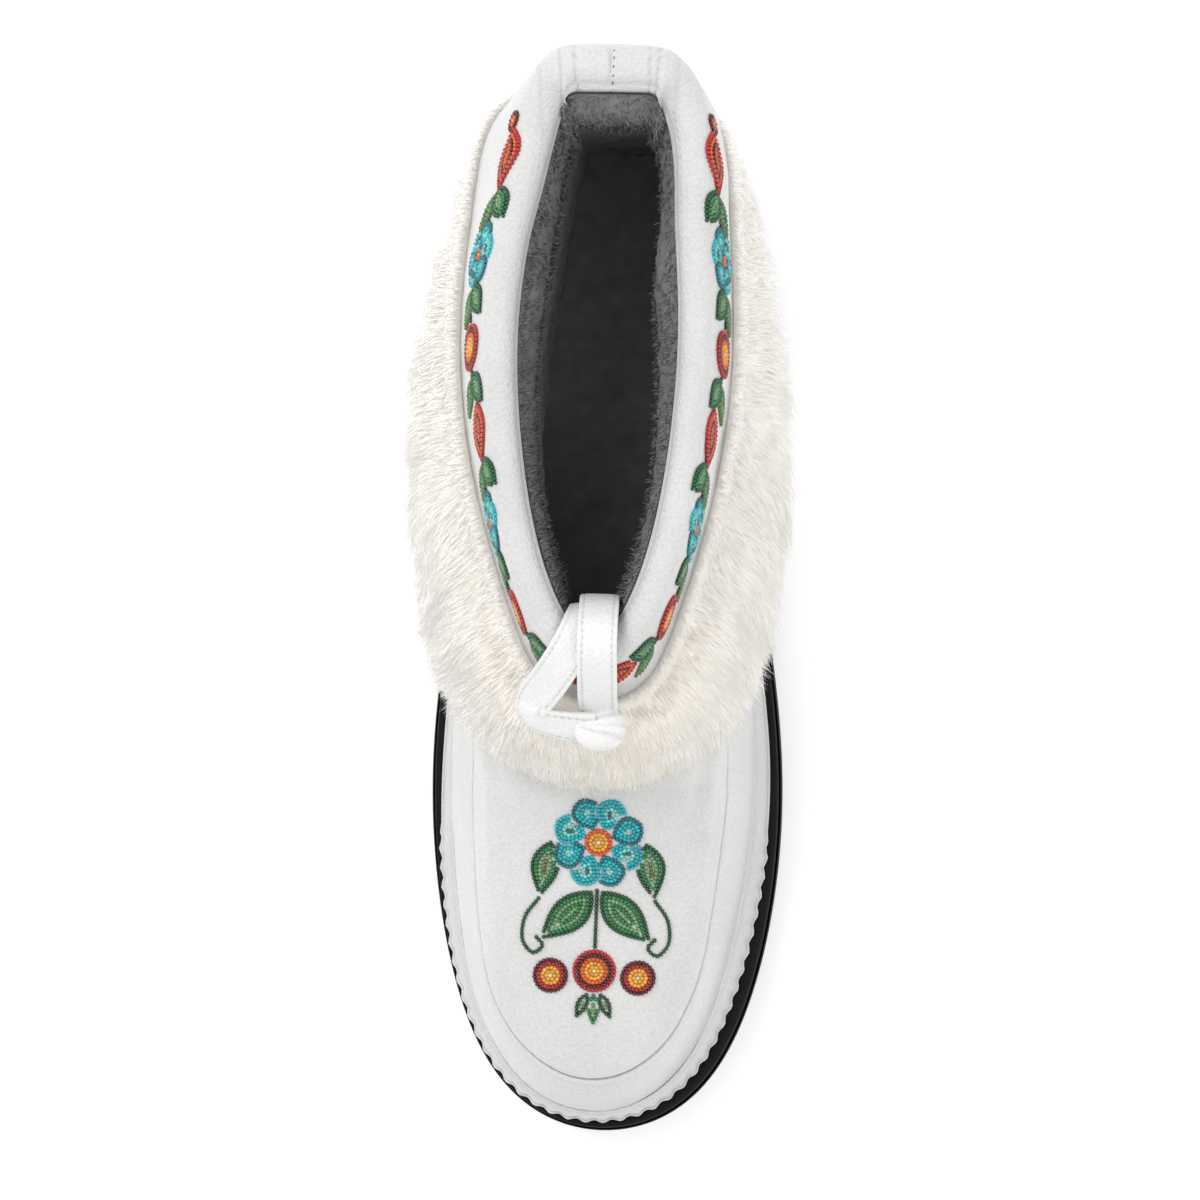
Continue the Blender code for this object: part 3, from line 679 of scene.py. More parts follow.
def build_midsole(material):
    """Wrapped midsole: a piped, scalloped foot on the rubber's lip, a soft bulge and a rolled welt, with
    painted shade in its tones.
    """
    angle = even_angles(560)
    outline = sole_outline(angle)
    scallop = rib_wave(angle) * SCALLOP_DEPTH
    tip = ((1 - np.cos(angle)) / 2) ** 10
    feather = inset(upper_surface(angle, 0.0)[:, :2], feather_tuck(angle))

    def foot_ring(depth, rise):
        """Ring round the rubber's platform, drawn in by a depth and raised over its top."""
        plan = inset(outline, depth)
        plan[:, 0] += toe_shift(plan[:, 1])
        return np.column_stack([plan, rubber_top(plan[:, 1]) + rise])

    # Tones are painted shade: dark in the crevice at the rubber's lip, light grey over the bulge, a little
    # deeper near the welt and on the welt's inner side.
    rings = [foot_ring(np.full(len(angle), LIP_WIDTH + 3 * CLEARANCE), CLEARANCE)]
    tones = [np.full(len(angle), 0.3)]
    rings.append(foot_ring(LIP_WIDTH + 0.6 * MM - scallop, 0.75 * LIP_HEIGHT))
    tones.append(np.full(len(angle), 0.5))
    piping = 0.36 * MM
    for turn in np.radians(np.linspace(-60, 120, 9)):
        depth = LIP_WIDTH + 0.30 * MM - scallop - piping * math.cos(turn)
        rings.append(foot_ring(depth, 1.0 * LIP_HEIGHT + piping * math.sin(turn)))
        tones.append(np.full(len(angle), 0.0))
    start = foot_ring(LIP_WIDTH + 0.58 * MM - 0.95 * scallop, LIP_HEIGHT + 0.22 * MM)
    welt_out = (0.38 + 0.55 * tip) * MM
    welt = inset(feather, -welt_out)
    end = np.column_stack([inset(welt, -0.30 * MM), wrap_top(welt[:, 1]) - 0.55 * MM])
    for share in np.linspace(0.0, 1.0, 16):
        ring = start + (end - start) * share
        out = np.interp(share, (0.0, 0.3, 0.62, 0.86, 1.0), (0.0, 0.34, 0.46, 0.30, 0.0))
        pucker = ripple(ring * (1.0, 1.0, 0.25), 0.014, 3) * 0.12 * MM * math.sin(math.pi * share)
        ring[:, :2] = inset(ring[:, :2], -pucker - WRAP_LEAN * 0.6 * out)
        ring[:, 2] += 0.5 * MM * out
        rings.append(ring)
        tones.append(np.full(len(angle), 0.10 + 0.05 * bell(share - 0.9, 0.14)))
    roll = 0.42 * MM
    for turn in np.radians(np.linspace(-40, 190, 11)):
        plan = inset(feather, -welt_out - roll * math.cos(turn))
        rings.append(np.column_stack([plan, wrap_top(plan[:, 1]) - 0.20 * MM + roll * math.sin(turn)]))
        tones.append(np.full(len(angle), 0.10 * (turn > 2.6)))
    plan = inset(feather, 1.0 * MM)
    rings.append(np.column_stack([plan, wrap_top(plan[:, 1]) - 0.45 * MM]))
    tones.append(np.zeros(len(angle)))
    points, faces = capped_rings(rings, 4, 4)
    tones = np.concatenate(tones)
    tones = np.concatenate([tones, np.zeros(len(points) - len(tones))])
    return add_piece("wrapped_midsole", points, faces, material, ["midsole"], tones=tones)


# Upper

# Soft folds of the leather, in millimetres in plan: ends, depth and half-width
VAMP_FOLDS = (
    (-34, -44, -14, -50, 0.35, 2.6),
    (33, -46, 13, -51, 0.30, 2.4),
    (-31, -57, -20, -60, 0.22, 2.2),
    (30, -60, 22, -62, 0.20, 2.0),
    (-20, -112, 2, -118, 0.18, 3.5),
    (18, -106, 27, -96, 0.16, 3.0),
)
# Dents in the side wall: turn as a share of half a turn, depth and half-width in millimetres
SIDE_DENTS = ((0.60, 0.40, 3.0), (0.72, 0.30, 3.5), (1.24, 0.35, 3.5), (1.34, 0.35, 3.0))
# Pleats round the collar's back: sideways place at its outer and inner edge, depth, half-width
BACK_PLEATS = (
    (-15.0, -11.8, 0.30, 0.40),
    (-11.2, -8.4, 0.36, 0.42),
    (-0.4, -0.2, 0.30, 0.30),
    (9.6, 9.4, 0.30, 0.40),
    (13.2, 10.8, 0.36, 0.42),
    (-20.5, -16.0, 0.14, 0.8),
    (18.6, 15.0, 0.16, 0.8),
)


def collar_push(angle, level):
    """How far the collar stands out: two back corners, a dip between them, a sway to the big-toe side."""
    top = upper_surface(angle, COLLAR_TOP_RING) - upper_surface(0.0, COLLAR_TOP_RING)
    back = smooth((top[..., 1] + 0.030) / 0.014)
    corner = bell(np.abs(top[..., 0]) - 0.0132, 0.0050)
    shoulder = bell(np.abs(top[..., 0]) - 0.0235, 0.0055) * np.where(top[..., 0] < 0, 1.6, 0.9)
    sway = np.clip(top[..., 0] / 0.018, -1, 1) * bell(top[..., 1] + 0.027, 0.014)
    push = back * (0.55 + 1.0 * corner - shoulder - 0.25 * bell(top[..., 0], 0.006)) + 1.35 * sway
    return push * MM * smooth((level - 8.2) / 1.1)


def boot_skin(angle, level):
    """Outer skin with the collar's squared back and its padding under the roll."""
    pad = smooth((level - 8.4) / 0.8) * bell(level - 9.35, 0.75)
    out = upper_normal(angle, level)
    return upper_surface(angle, level) + out * (collar_push(angle, level) + 0.5 * MM * pad)[..., None]


def roll_frame(angle):
    """Middle of the collar's roll, its outward and rising ways and its radius."""
    top = boot_skin(angle, np.full(np.shape(angle), float(COLLAR_TOP_RING)))
    out = upper_normal(angle, COLLAR_TOP_RING)
    rise = unit(upper_surface(angle, COLLAR_TOP_RING) - upper_surface(angle, COLLAR_TOP_RING - 0.01))
    radius = roll_thickness(angle)[:, None] / 2
    return top - out * radius, out, rise, radius


def collar_point(angle, height):
    """Place and outward way on the collar at a height over its top ring, going round the roll past it."""
    apart = upper_surface(angle, COLLAR_TOP_RING) - upper_surface(angle, COLLAR_TOP_RING - 0.4)
    scale = np.linalg.norm(apart, axis=-1) / 0.4
    level = COLLAR_TOP_RING + np.minimum(height, 0.0) / scale
    core, out, rise, radius = roll_frame(angle)
    turn = np.maximum(height, 0.0)[:, None] / radius
    way = np.cos(turn) * out + np.sin(turn) * rise
    under = (height < 0)[:, None]
    place = np.where(under, boot_skin(angle, level), core + radius * way)
    return place, np.where(under, upper_normal(angle, level), way)


def seam_level(angle):
    """Level of the toe seam: a little higher over the big toe's ball, then climbing under the fur cuff."""
    along = upper_surface(angle, TOE_SEAM_RING)[..., 1]
    hump = 0.14 * bell(angle / math.pi - 0.70, 0.09)
    climb = 3.1 * smooth((along + 0.054) / 0.060)
    return TOE_SEAM_RING + hump + climb


def seam_distance(angle, level):
    """Distance from the toe seam across the skin, positive on the plug, and how far it shows."""
    apart = upper_surface(angle, TOE_SEAM_RING + 0.05) - upper_surface(angle, TOE_SEAM_RING - 0.05)
    scale = np.linalg.norm(apart, axis=-1) / 0.1
    along = upper_surface(angle, level)[..., 1]
    return (level - seam_level(angle)) * scale, smooth((-along / SOLE_LENGTH - 0.005) / 0.05)


def fold_depth(place, folds):
    """Summed depth of soft troughs along straight lines in plan, fading at their ends."""
    total = np.zeros(place.shape[:-1])
    for x0, y0, x1, y1, depth, width in folds:
        start = np.array([x0, y0]) * MM
        run = np.array([x1, y1]) * MM - start
        share = ((place[..., :2] - start) @ run) / (run @ run)
        off = np.linalg.norm(place[..., :2] - start - np.clip(share, 0, 1)[..., None] * run, axis=-1)
        fade = smooth(1.3 - np.abs(share - 0.5) * 1.8)
        total += depth * MM * bell(off, width * MM) * fade
    return total


def skin_relief(angle, level):
    """Relief of the leather's outside, in metres outwards, and its painted shade: dark in the seam's groove
    and along the step beside it, grey low on the walls turned from the light.
    """
    distance, shown = seam_distance(angle, level)
    place = upper_surface(angle, level)
    groove = bell(distance, 0.36 * MM) * shown
    lip = bell(distance + 1.2 * MM, 0.55 * MM) * shown
    step = bell(distance + 2.3 * MM, 0.5 * MM) * shown
    plug_edge = smooth(distance / (2.6 * MM)) * (distance > 0) * bell(distance, 9 * MM) * shown
    puff = np.sin(math.pi * np.clip((level - 0.05) / 1.85, 0, 1)) * (0.35 + 0.65 * shown)
    relief = (-0.85 * groove + 0.20 * lip - 0.08 * step + 0.25 * plug_edge + 0.55 * puff) * MM
    relief = relief - (feather_tuck(angle) - 0.50 * MM) * smooth(1.0 - level / 1.3)
    relief = relief - fold_depth(place, VAMP_FOLDS) * (level > TOE_SEAM_RING)
    for turn, depth, width in SIDE_DENTS:
        off = (angle - turn * math.pi) * 0.045
        relief = relief - depth * MM * bell(off, width * MM) * bell(level - 1.0, 0.7)
    relief = relief + 0.16 * MM * ripple(place, 0.030, 5) + 0.05 * MM * ripple(place, 0.009, 6)
    # Painted shade low on the side wall of the big-toe side and round the toe, which face away from the
    # light.
    shaded = smooth(0.9 * np.sin(angle) - 0.5 * np.cos(angle) + 0.15)
    shade = 0.30 * bell(level - 0.50, 0.65) * shaded
    dark = np.clip(0.90 * bell(distance, 0.28 * MM) * shown + 0.05 * step + shade, 0, 1)
    return relief, dark


def pleat_relief(place, inward):
    """Depth of the back pleats and the painted shade in them; inward runs from the collar's outer to its
    inner edge.
    """
    across = place[..., 0] / MM
    back = smooth((place[..., 1] - 0.112) / 0.010)
    reach = smooth(inward / 0.15) * smooth((1.08 - inward) / 0.10)
    depth = np.zeros(across.shape)
    dark = np.zeros(across.shape)
    for outer, inner, deep, width in BACK_PLEATS:
        line = outer + (inner - outer) * inward
        mark = bell(across - line, width) * back * reach
        depth += deep * MM * mark
        dark += 0.8 * deep * bell(across - line, 0.6 * width) * back * reach
    return depth, np.clip(dark, 0, 0.5)


def build_upper(material):
    """Hollow leather upper: skin with seam, puff and folds, padded roll with pleats, and its inside."""
    angle = even_angles(400)
    levels = np.concatenate([
        np.linspace(0.0, 1.74, 18), TOE_SEAM_RING + np.linspace(-0.18, 0.34, 36),
        np.linspace(2.42, 8.2, 40), np.linspace(8.35, 10.0, 16)])[:, None]
    turn = np.broadcast_to(angle, (len(levels), len(angle)))
    seam = seam_level(angle)
    above = 8.2 - (8.2 - levels) * (8.2 - seam) / (8.2 - TOE_SEAM_RING)
    above = np.where(levels < 8.2, above, levels)
    levels = np.where(levels < TOE_SEAM_RING, levels * seam / TOE_SEAM_RING, above)
    relief, dark = skin_relief(turn, levels)
    centre = np.array([upper_surface(0.0, COLLAR_TOP_RING)[0], 0.0, 0.0])
    inward = 0.35 * smooth((levels - 9.2) / 0.8)
    skin = boot_skin(turn, levels)
    depth, pleat_dark = pleat_relief(skin - centre, inward)
    skin = skin + upper_normal(turn, levels) * (relief - depth)[..., None]
    skin[..., 2] -= 0.30 * MM * smooth(1 - levels / 0.3)
    dark = np.maximum(dark, pleat_dark)
    core, out, rise, radius = roll_frame(angle)
    roll = []
    roll_dark = []
    for turn in np.radians(np.linspace(0, 180, 25)[1:]):
        way = math.cos(turn) * out + math.sin(turn) * rise
        ring = core + radius * way
        share = 0.35 + 0.65 * turn / math.pi
        depth, shade = pleat_relief(ring - centre, np.full(len(angle), share))
        swell = 0.14 * MM * ripple(ring, 0.016, 9) * math.sin(turn)
        piping = 0.45 * MM * bell(turn - math.radians(170), math.radians(8))
        gutter = 0.22 * MM * bell(turn - math.radians(150), math.radians(8))
        roll.append(ring + way * (swell + piping - gutter - depth)[:, None])
        # Painted shade in the pleats and in the gutter beside the piping.
        roll_dark.append(np.maximum(shade, 0.08 * bell(turn - math.radians(150), math.radians(6))))
    inner_levels = np.concatenate([np.linspace(9.9, 8.0, 8), np.linspace(7.5, 0.0, 14)])[:, None]
    inner = lining_wall(np.broadcast_to(angle, (len(inner_levels), len(angle))), inner_levels)
    inner[-1, :, 2] = wrap_top(inner[-1, :, 1]) + CLEARANCE
    rings = np.concatenate([skin, np.array(roll), inner])
    # Tones are the painted shade of the skin and roll; the inside has none.
    tones = np.concatenate([dark, np.array(roll_dark), np.zeros(inner.shape[:2])])
    faces = [grid_faces(len(rings), len(angle), wrap_rows=True)]
    return add_piece("leather_upper", rings, faces, material, ["upper"], tones=tones)


# Inside

def lining_wall(angle, level):
    """Inside face of the leather wall."""
    wall = wall_at(angle, level) - collar_push(angle, level)
    return upper_surface(angle, level) - upper_normal(angle, level) * wall[..., None]


def pile_face(angle, level):
    """Face of the plush: below the collar's edge it swells towards the middle, to a band's width."""
    wall = lining_wall(angle, level)
    edge = lining_wall(angle, np.full(np.shape(angle), float(COLLAR_TOP_RING)))
    below = edge[..., 2] - wall[..., 2]
    shaft = smooth((wall[..., 1] + 0.030) / 0.022)
    heelward = smooth((edge[..., 1] - 0.020) / 0.090)
    band = (2.2 + 4.2 * heelward + 0.6 * np.sin(angle)) * MM
    middle = np.clip(edge[..., 1], edge[..., 1].min() + 0.020, edge[..., 1].max() - 0.052)
    axis = np.stack([centre_line(middle) + 0.0008, middle], axis=-1)
    towards = axis - edge[..., :2]
    room = np.linalg.norm(towards, axis=-1)
    way = towards / room[..., None]
    band = np.minimum(band, 0.60 * room)
    hang = smooth(below / 0.017)
    plan = wall[..., :2] + (edge[..., :2] + way * band[..., None] - wall[..., :2]) * hang[..., None]
    plush = np.concatenate([plan, wall[..., 2:]], axis=-1)
    thin = wall - upper_normal(angle, level) * 1.6 * MM
    inward = unit(np.concatenate([way, np.zeros(room.shape + (1,))], axis=-1) * shaft[..., None]
                  - upper_normal(angle, level) * (1.001 - shaft[..., None]))
    face = thin + (plush - thin) * shaft[..., None] + inward * 0.5 * MM
    return face, inward, below, shaft


def build_lining(material):
    """Plush lining: a closed shell from the collar's inner edge to the insole, its pile side uneven."""
    angle = even_angles(320)
    levels = np.concatenate([np.linspace(9.97, 8.4, 26), np.linspace(8.2, 0.45, 40)])
    turn = np.broadcast_to(angle, (len(levels), len(angle)))
    face, inward, below, _ = pile_face(turn, levels[:, None])
    rough = 0.26 * MM * ripple(face, 0.0042, 21) + 0.30 * MM * ripple(face, 0.0085, 22)
    face = face + inward * (rough * smooth(below / 0.003))[..., None]
    back_levels = np.concatenate([np.linspace(0.45, 8.2, 14), np.linspace(8.6, 9.97, 7)])
    back = lining_wall(angle[None, :], back_levels[:, None])
    back = back - upper_normal(angle[None, :], back_levels[:, None]) * 0.25 * MM
    rings = np.concatenate([face, back])
    # Painted light and shade: the plush is lit grey near the collar's edge, near black deeper in, and dark
    # again right at the edge.
    lit = np.clip(0.50 - 0.42 * smooth((below - 0.007) / 0.020) + 0.07 * ripple(face, 0.006, 23), 0, 1)
    tones = np.concatenate([lit * smooth(below / 0.0015), np.zeros(back.shape[:2])])
    faces = [grid_faces(len(rings), len(angle), wrap_rows=True)]
    return add_piece("plush_lining", rings, faces, material, tones=tones)


def hair_mesh(name, roots, bends, tips, widths, tones, material):
    """Closed three-sided hairs: a point at the root, three round the bend and a point at the tip."""
    run = unit(tips - roots)
    side = unit(np.cross(run, np.where(np.abs(run[:, 2:]) > 0.8, (1.0, 0.0, 0.0), (0.0, 0.0, 1.0))))
    other = np.cross(run, side)
    wide = widths[:, None] / 2
    ring = [bends + wide * (side * math.cos(t) + other * math.sin(t)) for t in (0.0, 2.0944, 4.1888)]
    points = np.stack([roots] + ring + [tips], axis=1)
    fans = np.array([(0, 2, 1), (0, 3, 2), (0, 1, 3), (4, 1, 2), (4, 2, 3), (4, 3, 1)])
    faces = [(5 * np.arange(len(roots))[:, None, None] + fans[None]).reshape(-1, 3)]
    low, high = tones
    shade = np.stack([low] + [0.55 * low + 0.45 * high] * 3 + [high], axis=1)
    return add_piece(name, points, faces, material, tones=shade)


def build_pile(material):
    """Short plush hairs over the lit part of the lining, combed in slanting streaks."""
    tries = 2 * PLUSH_HAIRS
    angle = rng.uniform(0, 2 * math.pi, tries)
    level = 9.94 - 2.0 * rng.uniform(0, 1, tries) ** 1.1
    root, inward, below, shaft = pile_face(angle, level)
    keep = np.flatnonzero((shaft > 0.35) & (below < 0.030))[:PLUSH_HAIRS]
    root, inward, below, angle = root[keep], inward[keep], below[keep], angle[keep]
    around = np.stack([-inward[:, 1], inward[:, 0], np.zeros(len(keep))], axis=-1)
    comb = ripple(root, 0.020, 24)[:, None]
    down = np.array([0.0, 0.0, -1.0])
    stray = rng.normal(size=root.shape) * 0.30
    way = unit(inward * 0.35 + down * 0.55 + around * (0.35 + 0.5 * comb) + stray)
    lengths = (rng.uniform(1.6, 3.0, len(root)) * MM * (0.4 + 0.6 * smooth(below / 0.005)))[:, None]
    bends = root + inward * 0.25 * MM + way * 0.45 * lengths
    tips = bends + unit(way + 0.4 * down) * 0.55 * lengths
    # Painted light on the hairs near the collar, painted shade deeper in and at their roots, varied at
    # random.
    lit = np.clip(1.0 - 0.8 * smooth((below - 0.006) / 0.018), 0, 1) * rng.uniform(0.2, 1.35, len(root))
    widths = rng.uniform(0.24, 0.38, len(root)) * MM
    return hair_mesh("plush_pile", root - inward * 0.4 * MM, bends, tips, widths,
                     (0.35 * lit, np.clip(lit, 0, 1)), material)


def build_insole(material):
    """Plush-covered insole with a rounded edge and uneven pile."""
    angle = even_angles(260)
    plan = inset(upper_surface(angle, 0.0)[:, :2], WALL + 3 * CLEARANCE)
    base = wrap_top(plan[:, 1]) + CLEARANCE
    rings = []
    for depth, rise in ((0.0, 0.0), (0.0, 0.5), (0.06, 0.8), (0.35, 1.0), (0.9, 1.0)):
        edge = inset(plan, depth * INSOLE_THICKNESS)
        rings.append(np.column_stack([edge, base + rise * INSOLE_THICKNESS]))

    def pile(points):
        """Uneven top."""
        points[:, 2] = wrap_top(points[:, 1]) + CLEARANCE + INSOLE_THICKNESS
        points[:, 2] += 0.35 * MM * ripple(points, 0.005, 31) + 0.3 * MM * ripple(points, 0.016, 32)
        return points

    points, faces = capped_rings(rings, 2, 30, high_cap=pile)
    tones = np.clip(0.52 + 0.05 * ripple(points, 0.008, 33), 0, 1)
    return add_piece("plush_insole", points, faces, material, ["insole"], tones=tones)


# Fur

def fur_skin(angle, down, share=1.0):
    """Surface of the cuff's body: its section's thickness over the leather, with the locks' ridges."""
    section = np.array(FUR_SECTION)[::-1]
    thick = np.interp(down, section[:, 0], section[:, 1])
    locks = lock_wave(angle, down)
    depth = FUR_DEPTH * fur_steps(angle, FUR_DEEP) * thick
    depth = depth + LOCK_RELIEF * (locks - 0.6) * np.minimum(1.0, 1.6 * thick)
    level = fur_place(angle, down)
    depth = depth * share * fur_steps(angle, BODY_SHARE) * (0.25 + 0.75 * smooth((down + 0.02) / 0.25))
    depth = np.maximum(depth, 1.3 * MM)
    return upper_surface(angle, level) + upper_normal(angle, level) * depth[..., None]


def build_fur_body(material):
    """Dense underfur: a closed band round the ankle, rounded outside, with soft uneven tufts."""
    angle = even_angles(364)
    inside = np.linspace(0.02, 1.0, 8)
    outside = np.linspace(1.08, 0.0, 46)
    level = fur_place(angle[None, :], inside[:, None])
    seat = FUR_SEAT * (0.15 + 0.85 * smooth(inside[:, None] / 0.3))
    back = upper_surface(angle[None, :], level) + upper_normal(angle[None, :], level) * seat[..., None]
    down = np.broadcast_to(outside[:, None], (len(outside), len(angle)))
    face = fur_skin(np.broadcast_to(angle, down.shape), down)
    out = upper_normal(angle[None, :], fur_place(angle[None, :], down))
    tufts = 0.45 * MM * ripple(face, 0.007, 41) + 0.35 * MM * ripple(face, 0.0035, 42)
    face = face + out * (tufts * smooth(down / 0.2) * smooth((1.08 - down) / 0.1))[..., None]
    rings = np.concatenate([back, face])
    tones = np.concatenate([np.zeros(back.shape[:2]), 0.55 + 0.15 * ripple(face, 0.006, 43)])
    faces = [grid_faces(len(rings), len(angle), wrap_rows=True)]
    return add_piece("fur_cuff_body", rings, faces, material, ["fur_cuff"],
                     tones=np.clip(tones, 0, 1))


def build_fur_hairs(material):
    """Long soft hairs in loose locks: they leave the cuff outwards and fall over it, tips drawn together."""
    count = FUR_HAIRS
    top = TOP_HAIRS
    angle = rng.uniform(0, 2 * math.pi, count)
    down = rng.uniform(0.0, 1.06, count)
    down[:top] = rng.uniform(-0.10, 0.05, top)
    root = fur_skin(angle, down, 0.96)
    level = fur_place(angle, down)
    out = upper_normal(angle, level)
    proud = out[:top] * rng.uniform(0.0, 1.3, (top, 1)) * MM
    root[:top] = upper_surface(angle[:top], level[:top]) + proud
    fall = unit(fur_skin(angle, down + 0.03) - fur_skin(angle, down - 0.03))
    around = np.cross(out, fall)
    sway = 0.50 * ripple(root, 0.045, 51) + 0.30 * ripple(root, 0.014, 52)
    lift = 0.62 - 0.30 * smooth(down / 0.9) + 0.10 * rng.normal(size=count)
    lift[:top] += 0.8
    stray = 0.14 * rng.normal(size=root.shape)
    first = unit(out * lift[:, None] + fall * 0.9 + around * sway[:, None] + stray)
    gravity = np.array([0.0, 0.0, -1.0])
    last = unit(fall + 0.25 * gravity + 0.12 * out + around * (sway * 1.2)[:, None]
                + 0.20 * rng.normal(size=root.shape))
    lengths = MM * rng.uniform(8.5, 14.5, count) * fur_steps(angle, HAIR_LENGTH)
    lengths = lengths * (1 - 0.05 * np.sin(angle))
    lengths[:top] *= 0.60
    bend = root + (0.42 * lengths)[:, None] * first
    tip = bend + (0.58 * lengths)[:, None] * last
    leaders = rng.choice(count, LOCK_LEADERS, replace=False)
    pull = np.empty(count, dtype=int)
    for start in range(0, count, 4000):
        apart = root[start:start + 4000, None] - root[None, leaders]
        pull[start:start + 4000] = (apart ** 2).sum(axis=-1).argmin(axis=1)
    lead = leaders[pull]
    gather = rng.uniform(0.05, 0.50, count)[:, None]
    reach = (lengths / lengths[lead])[:, None]
    tip = tip + gather * (root[lead] + (tip[lead] - root[lead]) * reach - tip) * 0.8
    lock_tone = rng.uniform(-0.12, 0.12, len(leaders))[pull]
    warm = np.clip(0.80 + lock_tone + 0.08 * rng.normal(size=count), 0, 1)
    forward = smooth((0.004 - root[:, 1]) / 0.020) * smooth((root[:, 1] + 0.052) / 0.012)
    warm = warm - 0.45 * bell(root[:, 0], 0.030) * forward
    widths = MM * rng.uniform(0.17, 0.29, count)
    items = []
    for part in range(FUR_PIECES):
        pick = slice(part * count // FUR_PIECES, (part + 1) * count // FUR_PIECES)
        low, high = np.clip(0.7 * warm[pick], 0, 1), np.clip(warm[pick], 0, 1)
        items.append(hair_mesh(f"fur_hairs_{part + 1}", root[pick], bend[pick], tip[pick], widths[pick],
                               (low, high), material))
    return items


# Tie

def tie_point(route):
    """Places of a tie route from the collar's front edge."""
    route = np.asarray(route, dtype=float).reshape(-1, 3)
    front = upper_surface(math.pi, COLLAR_TOP_RING)
    top = front[2] + COLLAR_ROLL / 2
    across = front[0] + route[:, 0] * LOOP_REACH
    along = front[1] + route[:, 1] * SOLE_LENGTH
    return np.column_stack([across, along, top + route[:, 2] * STRAP_WIDTH])


def strap_frame(route, steps):
    """Points along a tie route with the band's width direction and its face direction."""
    route = np.asarray(route)
    rows = blend_rows(route, np.linspace(0.0, len(route) - 1, steps))
    path = tie_point(rows[:, :3])
    turn = np.radians(rows[:, 3])
    tip = np.radians(rows[:, 4])
    run = unit(np.gradient(path, axis=0))
    across = np.column_stack([np.cos(turn) * np.cos(tip), np.sin(turn) * np.cos(tip), np.sin(tip)])
    across = unit(across - run * (across * run).sum(axis=1, keepdims=True))
    return path, across, np.cross(run, across), run


def build_strap(name, route, material, node, steps):
    """Flat folded band: rounded edges and a shallow line inside each edge with painted shade in it, swept
    along its route.
    """
    path, across, face, _ = strap_frame(route, steps)
    turns = even_angles(36)
    side = np.sign(np.cos(turns)) * np.abs(np.cos(turns)) ** 0.55
    up = np.sign(np.sin(turns)) * np.abs(np.sin(turns)) ** 0.30
    line = bell(np.abs(side) - 0.76, 0.05)
    up = up * (1 - 0.16 * line)
    wide = np.full(steps, 0.525 * STRAP_WIDTH)
    thin = STRAP_THICKNESS / 2 * (1 + 0.10 * ripple(path, 0.012, 61))
    rings = (path[:, None] + across[:, None] * side[None, :, None] * wide[:, None, None]
             + face[:, None] * up[None, :, None] * thin[:, None, None])
    points = np.concatenate([rings.reshape(-1, 3), path[:1], path[-1:]])
    # Painted shade in the lines along the edges.
    tones = np.concatenate([np.broadcast_to(0.22 * line, rings.shape[:2]).ravel(), [0, 0]])
    count = len(turns)
    spot = np.arange(count)
    last = (steps - 1) * count
    start_cap = np.stack([np.full(count, steps * count), (spot + 1) % count, spot], axis=-1)
    end_cap = np.stack([
        np.full(count, steps * count + 1), last + spot, last + (spot + 1) % count], axis=-1)
    faces = [grid_faces(steps, count), np.concatenate([start_cap, end_cap])]
    return add_piece(name, points, faces, material, [node], tones=tones, sharp=50)


def build_knot(material):
    """Knot: a domed, rounded tab of wrapped strap, with folds that fan from its pinched left end."""
    centre = tie_point(KNOT_PLACE)[0] + np.array([0.2, 0.4, 0.0]) * MM
    corners = np.array([
        (-5.6, 2.9), (-0.5, 4.6), (5.4, 5.3), (6.9, 3.2), (6.0, -3.4), (1.2, -5.6), (-6.2, -1.2)])
    turns = even_angles(120)
    around = np.arctan2(corners[:, 1], corners[:, 0])
    edge = np.interp(turns, around, np.hypot(corners[:, 0], corners[:, 1]), period=2 * math.pi)
    wave = np.fft.rfft(edge)
    wave *= np.exp(-(np.arange(len(wave)) / 9.0) ** 2)
    edge = np.fft.irfft(wave, len(turns)) * MM
    rises = np.radians(np.linspace(-90, 90, 60))[1:-1]
    turn, rise = np.meshgrid(turns, rises)
    flat = np.abs(np.cos(rise)) ** 0.7
    across = flat * edge[None, :] * np.cos(turn)
    along = flat * edge[None, :] * np.sin(turn)
    up = KNOT_SIZE[2] / 2 * np.sign(np.sin(rise)) * np.abs(np.sin(rise)) ** 0.8
    lean = np.arctan2(along - 0.9 * MM, across + 7.5 * MM)
    fan = smooth((across + 6.5 * MM) / (3.0 * MM))
    folds = bell(lean - 0.28, 0.055) + 0.8 * bell(lean + 0.22, 0.06) + 0.5 * bell(lean - 0.02, 0.04)
    step = 0.35 * smooth((lean - 0.28) / 0.10) + 0.30 * smooth((-0.22 - lean) / 0.10)
    up = up + (0.0006 * step - 0.00045 * folds * fan) * (rise > 0)
    points = np.stack([across, along, up], axis=-1) * (1 - 0.03 * folds * fan)[..., None] + centre
    # Painted shade in the folds.
    tones = np.clip(0.22 * folds * fan, 0, 0.35)
    low = centre + np.array([0, 0, -KNOT_SIZE[2] / 2])
    high = centre + np.array([0, 0, KNOT_SIZE[2] / 2])
    count = len(turns)
    rows = len(rises)
    total = rows * count
    spot = np.arange(count)
    caps = np.concatenate([
        np.stack([np.full(count, total), (spot + 1) % count, spot], -1),
        np.stack([
            np.full(count, total + 1), total - count + spot, total - count + (spot + 1) % count], -1),
    ])
    points = np.concatenate([points.reshape(-1, 3), [low, high]])
    tones = np.concatenate([tones.ravel(), [0, 0]])
    faces = [grid_faces(rows, count), caps]
    return add_piece("tie_wrapped_knot", points, faces, material, ["tie_knot"], tones=tones)


# Stitches

